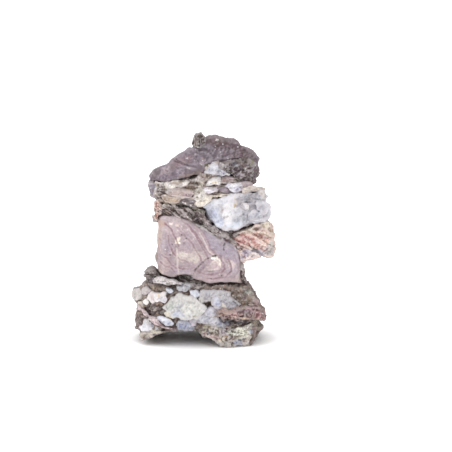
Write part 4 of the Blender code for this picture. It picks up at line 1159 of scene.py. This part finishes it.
base_schist = rock_finish("crumbly brown schist", (60, 46, 40), (176, 160, 146), dark_share=0.25,
                          pale_share=0.2, fineness=1.1, grain=1.0, specks=0.2,
                          speck_colour=(206, 196, 184), soil_and_shade=0.6, rub_and_highlight=0.15)
BASE_FLECKS = [((88, 72, 64), 3.6, 0.45), ((154, 142, 134), 3.4, 0.45), ((150, 120, 98), 4, 0.6),
               ((146, 148, 128), 6, 0.7), ((190, 184, 178), 2.6, 0.75), ((150, 124, 126), 7, 0.6)]
base_block = block(BASE, BASE_PLAN, [(-41, 0, 0.1)], [(40, 0, -0.1)])
stone_piece("base", [rough_block(base_block, CRUMBLY_SCHIST, 0.74)], [base_block], base_schist,
            tint=stained((110, 94, 86), BASE_STAINS, 900, (0.12, 0.14), BASE_FLECKS))


# Broken quartz in the base: angular lumps of many sizes, white, greenish, lilac and blue-grey, each
# with its own faces. The crumbly bed fills the cracks between them, and four of them are at the back.

BASE_LUMPS = [
    # outline, y of the front or None for a lump of the back, its lean across and up, ground colour
    ([(-52, 44), (-49, 46.5), (-44, 46), (-34.6, 46.5), (-34.6, 42), (-36, 37), (-42, 38.5),
      (-46, 37.6), (-50, 37.6), (-52, 41)], -42.8, -0.2, 0.2, (222, 215, 215)),
    ([(-37.5, 32), (-32, 36), (-30, 41), (-26.5, 43), (-24, 46), (-20, 44.6), (-15, 43.4), (-8.5, 43),
      (-6, 39), (-2.6, 35), (4.4, 31.4), (1.5, 29.6), (-3.6, 27.4), (-6, 23), (-9.5, 24), (-14, 21),
      (-18, 20.6), (-22, 22.6), (-29, 21.6), (-31, 28)], -44.0, -0.12, 0.22, (196, 193, 191)),
    ([(-12.4, 48.3), (-4.4, 47.6), (-3.2, 44.7), (-6.2, 42), (-9, 44.5)], -43.7, 0, 0.2,
     (206, 210, 222)),
    ([(-1.7, 47.4), (5.4, 48), (15, 47.6), (26.4, 46.8), (25.4, 43), (20.5, 42), (15, 39),
      (9, 40), (3.6, 37.6), (-1.7, 41)], -43.5, 0.05, 0.25, (156, 151, 156)),
    ([(9, 41), (15, 43), (22.3, 42), (27.6, 41), (33, 37.6), (35.6, 34), (32, 31.4), (24, 31.4),
      (18, 29), (13.4, 30.5), (10, 35)], -44.0, 0.2, -0.05, (152, 147, 156)),
    ([(-2.6, 42), (0, 43), (3.6, 40), (1, 37.6), (-2.6, 38.5)], -44.1, 0, 0.1, (160, 158, 156)),
    ([(2.7, 29.6), (7.2, 33), (13.4, 30.5), (14.3, 27), (10, 24.3), (2.7, 25)], -44.3, 0.1, 0.1,
     (178, 175, 186)),
    ([(-8, 22.5), (-2.6, 24.5), (4.5, 24.5), (14.3, 24.3), (15, 20), (22.3, 15.4), (24, 13.7),
      (18.7, 12.8), (10, 14.6), (4.5, 17), (-4.4, 19), (-8, 20)], -44.0, 0.1, 0.25, (150, 147, 157)),
    ([(-25.7, 15.4), (-24, 19), (-20.4, 21), (-15, 21), (-12.4, 18), (-9, 15.4), (-8, 13.2),
      (-12, 11), (-14, 12), (-16.8, 9.8), (-19, 11.4), (-22, 10.6), (-24, 12.8)], -43.7, 0, 0.4,
     (128, 132, 154)),
    ([(-13, 22), (-9, 22), (-6, 18), (-7, 14.5), (-10, 14.5), (-12, 18)], -43.4, 0.1, 0.2,
     (178, 164, 178)),
    ([(-43.5, 21.7), (-40, 23), (-34.6, 22.5), (-30, 20.8), (-28.4, 15.4), (-33, 14.6), (-38, 17)],
     -43.1, -0.1, 0.2, (206, 210, 224)),
    ([(-36, 27), (-33, 28.5), (-30, 25), (-31, 22), (-35, 23)], -42.9, -0.1, 0.1, (192, 184, 164)),
    ([(-60, 12), (-57, 18.5), (-53, 21.7), (-49, 20), (-44.3, 15.4), (-40.5, 11.6), (-45, 10),
      (-52, 8.6), (-59, 9.5)], -37, -0.35, 0.2, (222, 220, 228)),
    ([(-34.6, 51), (-29, 51), (-28, 47), (-33, 46.5)], -42.8, 0, 0.1, (186, 194, 206)),
    ([(-25, 52), (-18, 53), (-13, 50), (-15, 47.5), (-23, 48)], -42.9, 0, 0.2, (152, 152, 160)),
    ([(-56, 49), (-52, 52), (-49.5, 49), (-52, 45.5), (-56, 46)], -39, -0.3, 0.2, (166, 152, 154)),
    ([(-67.4, 46), (-64.8, 48.7), (-60.3, 48.7), (-59, 46.5), (-59.4, 42), (-62, 39.4), (-65.7, 38.5),
      (-68, 42)], -29, -0.9, 0.2, (172, 164, 160)),
    ([(-57, 37.5), (-54, 39.5), (-52, 37.5), (-54, 35)], -40, -0.3, 0.2, (236, 232, 228)),
    ([(-62, 36), (-58, 38), (-56, 34), (-58, 30), (-61.5, 29)], -34, -0.5, 0.2, (214, 196, 166)),
    ([(-36, 38), (-30, 42), (-22, 46), (-8, 45), (3, 36), (0, 27), (-10, 24), (-18, 17), (-30, 24)], None,
     0, 0, (176, 174, 176)),
    ([(20, 42), (32, 47), (43, 41), (40, 33), (28, 34)], None, 0, 0, (160, 158, 168)),
    ([(-52, 22), (-45, 27), (-38, 22), (-41, 14), (-49, 12)], None, 0, 0, (196, 188, 186)),
    ([(8, 17), (16, 21), (24, 16), (20, 9), (11, 9)], None, 0, 0, (150, 144, 150))]
LUMP_STAINS = [
    (-48, 42, 2, 3, 0, (222, 206, 206)), (-41, 43, 1.2, 2.4, 20, (214, 190, 166)),
    (-36, 40, 2, 2, 0, (206, 200, 212)), (-30, 33, 6, 5, 0, (186, 189, 183)),
    (-18, 36, 9, 6, 0, (200, 198, 196)), (-13, 30, 8, 5, 0, (206, 205, 200)),
    (-24, 25, 6, 3, 0, (172, 176, 192)), (-6, 28, 5, 3, -20, (186, 186, 178)),
    (-12, 33, 1.2, 1.6, 0, (220, 212, 200)), (-20, 38, 1.0, 0.6, 0, (150, 140, 124)),
    (-8, 24, 2.4, 1.2, 0, (140, 126, 104)),
    (10, 45, 5, 1.6, 0, (172, 169, 174)), (17, 42, 4, 1.4, -30, (158, 146, 136)),
    (22, 37, 5, 3, 0, (142, 138, 148)), (13, 37, 3, 5, 10, (170, 174, 196)),
    (29, 37, 4, 2, -30, (160, 160, 172)), (28, 33, 4, 2, 0, (166, 163, 170)),
    (20, 33, 1.4, 3, 30, (206, 198, 190)), (31, 36, 1, 4, 40, (96, 90, 92)),
    (7, 29, 3, 2, 0, (190, 187, 200)), (2, 21, 5, 2, 0, (182, 182, 194)),
    (10, 20, 4, 3, 20, (194, 192, 198)), (17, 17, 3, 3, 0, (150, 152, 172)),
    (12, 23, 2, 1.2, 0, (150, 140, 132)), (-20, 18, 4, 1.6, 0, (186, 190, 204)),
    (-18, 14, 4, 2, 0, (122, 130, 164)), (-14, 16, 2, 3, 30, (156, 160, 182)),
    (-38, 20, 4, 1.4, -20, (222, 224, 234)), (-33, 17, 2.4, 2, 0, (184, 190, 210)),
    (-31, 21, 2, 1.4, 0, (222, 200, 150)), (-54, 18, 3, 3, 0, (236, 236, 240)),
    (-47, 14, 3, 2, 0, (176, 178, 198)), (-52, 11, 6, 1.6, 0, (224, 226, 234)),
    (-65, 44, 2.4, 2.4, 0, (182, 175, 170)), (-60, 32, 1.2, 2, 0, (230, 188, 120))]
BACK_LUMP_FACETS = ([(10, 0, 0)], [(44, -0.12, -0.1), (43.5, 0.2, 0.1)])

base_quartz = quartz_finish("broken base quartz", (148, 152, 168), soil_and_shade=0.45)
lump_blocks = [lump(outline, y, across, up) if y
               else block(outline, BASE_PLAN, *BACK_LUMP_FACETS, (1.4, 1.4), 0.4)
               for outline, y, across, up, _ in BASE_LUMPS]
lump_grids = [rough_block(stone, BROKEN_QUARTZ, 0.54, evened=1) for stone in lump_blocks]
lump_grounds = ground_of_each(lump_grids, [shade for *_, shade in BASE_LUMPS])
stone_piece("quartz_of_the_base", lump_grids, lump_blocks, base_quartz,
            tint=stained(lump_grounds, LUMP_STAINS, 950, (0.14, 0.12), QUARTZ_FLECKS))


# Slivers of the base: a mauve plate that slants down at the left over a dark crack, the stump of the
# left foot, and the bands of rusty pink and purple that run to a point at the right.

BASE_SLIVERS = [
    # outline, y of the front, its lean across and up, depth of relief, ground colour
    ([(-62, 34), (-58.6, 31.4), (-52, 26), (-43.5, 20), (-36.4, 14.8), (-26.6, 12.3), (-27.5, 10.6),
      (-34.6, 11.6), (-42, 15), (-50, 21), (-57, 27), (-62, 30)], -43.4, -0.25, 0, WEATHERED_SLATE,
     (196, 177, 181)),
    ([(-60.5, 5.7), (-57, 8), (-49, 9.6), (-36.4, 11.2), (-29.3, 10.3), (-34.6, 8.4), (-44.3, 5.4),
      (-52, 1.5), (-58.5, 0.5)], -40.5, -0.3, 0.2, WEATHERED_SLATE, (176, 167, 158)),
    ([(-65.7, 19), (-62, 21.5), (-58.6, 20), (-58, 13), (-62, 8), (-65.7, 10.5)], -30, -0.8, 0.1,
     ROUGH_SCHIST, (116, 100, 100)),
    ([(14.3, 27.5), (19, 30), (28, 30), (36.5, 32.5), (48, 33), (54, 34), (57, 28), (60, 23),
      (58.7, 20), (52, 20.8), (44, 21.5), (36.5, 20), (27.6, 20.8), (18, 22.5)], -46, 0.12, 0.1,
     CRUMBLY_SCHIST, (128, 101, 98)),
    ([(40, 36), (47, 38), (53, 36), (55, 31), (46, 32)], -42, 0.4, 0.1, SPLINTERY_SCHIST,
     (150, 128, 120))]
SLIVER_STAINS = [
    (-50, 23, 12, 1, -38, (196, 176, 180)), (-38, 13.5, 8, 1.0, -30, (150, 126, 132)),
    (-57, 3.5, 3, 2.4, 0, (140, 128, 118)), (-45, 8, 8, 1.2, 0, (196, 188, 168)),
    (-32, 10, 4, 0.8, 0, (190, 150, 146)), (-45, 5.4, 2, 1.0, 0, (60, 50, 46)),
    (24, 28, 8, 1.6, 0, (150, 112, 104)), (32, 26, 7, 1.4, 0, (172, 132, 130)),
    (42, 28, 9, 1.6, -5, (124, 102, 114)), (50, 27, 6, 1.6, -20, (142, 110, 117)),
    (55, 24, 5, 3, -30, (174, 130, 134)), (30, 22.5, 8, 1.2, 5, (178, 146, 138)),
    (40, 22, 4, 1, 0, (182, 158, 132)), (46, 31, 8, 1.2, 5, (148, 114, 120)),
    (20, 26, 5, 1.2, 10, (150, 116, 92)), (38, 31, 5, 1.2, 10, (140, 124, 108)),
    (52, 22, 5, 1.0, -10, (206, 168, 160)), (27, 25, 4, 0.8, 10, (140, 104, 104))]
FOOT_PLAN = [(-8, -36), (4, -44), (26, -48), (46, -43), (59, -22), (56, -8), (-6, -8)]
RIGHT_FOOT = [(-6, 17), (-2, 19), (7, 17), (14, 14), (20, 12), (30, 13), (38, 16), (46, 18), (52, 17),
              (56, 11), (49, 5), (45, 0), (45, -16), (36, -16), (24, -8), (14, -3), (6, 2), (0, 4),
              (-3, 8)]
FOOT_STAINS = [
    (0, 12, 6, 5, -40, (150, 142, 122)), (4, 14, 5, 2, -20, (158, 152, 124)),
    (10, 9, 6, 3, -20, (130, 122, 108)), (4, 6, 5, 2.4, -20, (178, 156, 152)),
    (12, 4, 6, 2, -15, (186, 160, 158)), (20, 8, 6, 3, -20, (150, 134, 144)),
    (30, 8, 6, 4, 0, (196, 196, 182)), (38, 8, 7, 6, 0, (214, 212, 196)),
    (44, 12, 5, 4, 0, (200, 196, 186)), (50, 10, 4, 4, 0, (132, 118, 110)),
    (46, 9, 2.4, 1.6, 0, (152, 166, 190)), (26, 2, 6, 3, -20, (158, 142, 138)),
    (18, 1, 4, 2, 0, (206, 188, 170)), (34, -2, 5, 3, 0, (122, 130, 156)),
    (42, 0, 4, 3, 0, (176, 160, 152)), (22, 4, 2, 1.2, 0, (172, 146, 122)),
    (0, 15, 2.4, 1.2, 0, (90, 78, 70)), (14, 11, 3, 1.4, -30, (120, 106, 96)),
    (34, 12, 3, 1.2, 0, (232, 230, 216)), (40, 4, 3, 1.4, 0, (226, 220, 206)),
    (28, 11, 2, 3, 0, (128, 118, 110)), (50, 16, 3, 1.6, 0, (212, 204, 196))]

banded_schist = rock_finish("rusty banded schist", (92, 70, 72), (196, 168, 164), dark_share=0.6,
                            pale_share=0.3, fineness=0.9, grain=0.7, specks=0.10, soil_and_shade=0.8, rub_and_highlight=0.2,
                            lean=0.08)
foot_schist = rock_finish("speckled foot schist", (86, 74, 66), (206, 198, 186), dark_share=0.25,
                          pale_share=0.2, fineness=1.3, grain=1.0, specks=0.35,
                          speck_colour=(214, 208, 198), soil_and_shade=0.75, rub_and_highlight=0.35, lean=0.2)
base_slivers = [lump(outline, y, across, up, 14) for outline, y, across, up, *_ in BASE_SLIVERS]
sliver_grids = [rough_block(stone, roughness, 0.58, 0.1)
                for stone, (*_, roughness, _) in zip(base_slivers, BASE_SLIVERS)]
sliver_grounds = ground_of_each(sliver_grids, [shade for *_, shade in BASE_SLIVERS])
stone_piece("slivers_of_the_base", sliver_grids, base_slivers, banded_schist,
            tint=stained(sliver_grounds, SLIVER_STAINS, 960, flecks=BASE_FLECKS[:3]))
FOOT_FLECKS = [((96, 82, 72), 4, 0.4), ((212, 206, 194), 3.5, 0.5), ((160, 134, 118), 5, 0.7),
               ((150, 152, 170), 6, 0.75)]
foot_block = block(RIGHT_FOOT, FOOT_PLAN, [(-46.5, 0.05, 0.1)], [(-17, 0, 0)])
stone_piece("right_foot", [rough_block(foot_block, CRUMBLY_SCHIST, 0.58, 0.2)], [foot_block], foot_schist,
            tint=stained((152, 141, 133), FOOT_STAINS, 970, (0.12, 0.16), FOOT_FLECKS))


# Old soil and painted shade where one bed meets another: each point near the outside of a neighbouring bed is
# darkened, more in some places than in others, for the soil in the joints and for the shade that falls there.

def near_share(points, stones):
    """How near each point is to the nearest of some other blocks: 1 on or in one, 0 past 1.3 mm."""
    share = np.zeros(len(points))
    for stone in stones:
        corners = np.array(stone["outline"])
        across, up = points[:, 0], height_on_face(points)
        close = np.flatnonzero(
            (across > corners[:, 0].min() - 3) & (across < corners[:, 0].max() + 3)
            & (up > corners[:, 1].min() - 3) & (up < corners[:, 1].max() + 3))
        if len(close):
            away = distance_outside(points[close], stone)
            share[close] = np.maximum(share[close], np.clip(1.1 - away / 1.2, 0, 1))
    return share


for name, points in points_of.items():
    others = [stone for other, stones in blocks_of.items() if other != name for stone in stones]
    others += blocks_of[name][1:] if len(blocks_of[name]) < 3 else []
    # The joint share darkens towards the soil colour: old soil and painted shade between the beds.
    share = near_share(points, others) * np.clip(0.5 + 0.7 * soft_noise(points, 7, 41), 0.1, 0.85)
    joint = bpy.data.objects[name].data.attributes["joint"]
    joint.data.foreach_set("value", share)


# The floor, a pale sheet that curves up behind and glows as painted light away from the stone, which lifts
# the stone's shadow on it, and a soft light tent round the stone: one big lamp above, one on each side, and a
# pale sky. The camera looks down on the face by the dip.

PALE_SHEET = (0.93, 0.925, 0.93, 1)
LENS = 110
SENSOR = 36
PICTURE = 452  # pixels across
PIXEL = 0.96 * MM  # the size of one pixel at the face of the stone
FACE_Y = -20 * MM
AIM_X = 22.1 * MM
AIM_UP = 109.4 * MM


def floor_sheet(wide, near, far, tall, bend):
    """A sheet swept along X: flat from near to far, a quarter round of the bend's radius, then
    upright."""
    turn = np.linspace(0, np.pi / 2, 24)
    y = np.concatenate([[near, 0], far + bend * np.sin(turn), [far + bend]])
    z = np.concatenate([[0, 0], bend - bend * np.cos(turn), [tall]])
    across = np.linspace(-wide / 2, wide / 2, 8)
    points = np.empty((len(across), len(y), 3))
    points[..., 0], points[..., 1], points[..., 2] = across[:, None], y, z
    rows = len(y)
    quads = [(i * rows + j, (i + 1) * rows + j, (i + 1) * rows + j + 1, i * rows + j + 1)
             for i in range(len(across) - 1) for j in range(rows - 1)]
    mesh = bpy.data.meshes.new("pale_floor")
    mesh.from_pydata(points.reshape(-1, 3).tolist(), [], quads)
    for face in mesh.polygons:
        face.use_smooth = True
    return bpy.data.objects.new("pale_floor", mesh)


floor = floor_sheet(6.0, -2.5, 1.2, 2.2, 0.7)
sheet_finish = bpy.data.materials.new("pale sheet")
sheet_finish.use_nodes = True
sheet_tree = sheet_finish.node_tree
sheet_shader = sheet_tree.nodes["Principled BSDF"]
sheet_shader.inputs["Base Color"].default_value = PALE_SHEET
sheet_shader.inputs["Roughness"].default_value = 0.7
on_sheet = sized(sheet_tree, placed(sheet_tree, "TexCoord").outputs["Object"], (0.75, 1, 1))
from_stone = placed(sheet_tree, "VectorMath", {"operation": "LENGTH"}, _0=on_sheet).outputs["Value"]
# Painted light: the sheet glows, not at all near the stone, up to 0.34 by 6.6 cm out and 0.2 more far away,
# so the stone's shadow fades fast.
painted_floor_glow = sum_of(sheet_tree, banded(sheet_tree, from_stone, 0.04, 0.066, 0.0, 0.34),
              banded(sheet_tree, from_stone, 0.2, 1.0, 0.0, 0.2))
sheet_tree.links.new(painted_floor_glow, sheet_shader.inputs["Emission Strength"])
sheet_shader.inputs["Emission Color"].default_value = (1, 1, 1, 1)
floor.data.materials.append(sheet_finish)
bpy.context.scene.collection.objects.link(floor)

sky = bpy.data.worlds.new("pale sky")
sky.use_nodes = True
sky.node_tree.nodes["Background"].inputs["Color"].default_value = (1, 1, 1, 1)
sky.node_tree.nodes["Background"].inputs["Strength"].default_value = 0.62
bpy.context.scene.world = sky

for name, place, size, power in (
        ("lamp_above", (-0.15, -0.25, 1.1), 1.2, 6.5),
        ("lamp_left", (-1.0, -0.7, 0.6), 0.8, 4),
        ("lamp_right", (0.95, -0.8, 0.7), 0.8, 2)):
    lamp = bpy.data.lights.new(name, "AREA")
    lamp.size = size
    lamp.energy = power
    shown = bpy.data.objects.new(name, lamp)
    shown.location = place
    shown.rotation_euler = (Vector(place) - Vector((0, 0, 0.1))).to_track_quat("Z", "Y").to_euler()
    bpy.context.scene.collection.objects.link(shown)

look = bpy.data.cameras.new("camera")
look.lens = LENS
look.sensor_width = SENSOR
camera = bpy.data.objects.new("camera", look)
away = PICTURE * PIXEL * LENS / SENSOR
camera.location = (AIM_X, FACE_Y - away * cos(DIP), AIM_UP / cos(DIP) - FACE_Y * sin(DIP) + away * sin(DIP))
camera.rotation_euler = (radians(90) - DIP, 0, 0)
bpy.context.scene.collection.objects.link(camera)
bpy.context.scene.camera = camera
bpy.context.scene.view_settings.view_transform = "Standard"
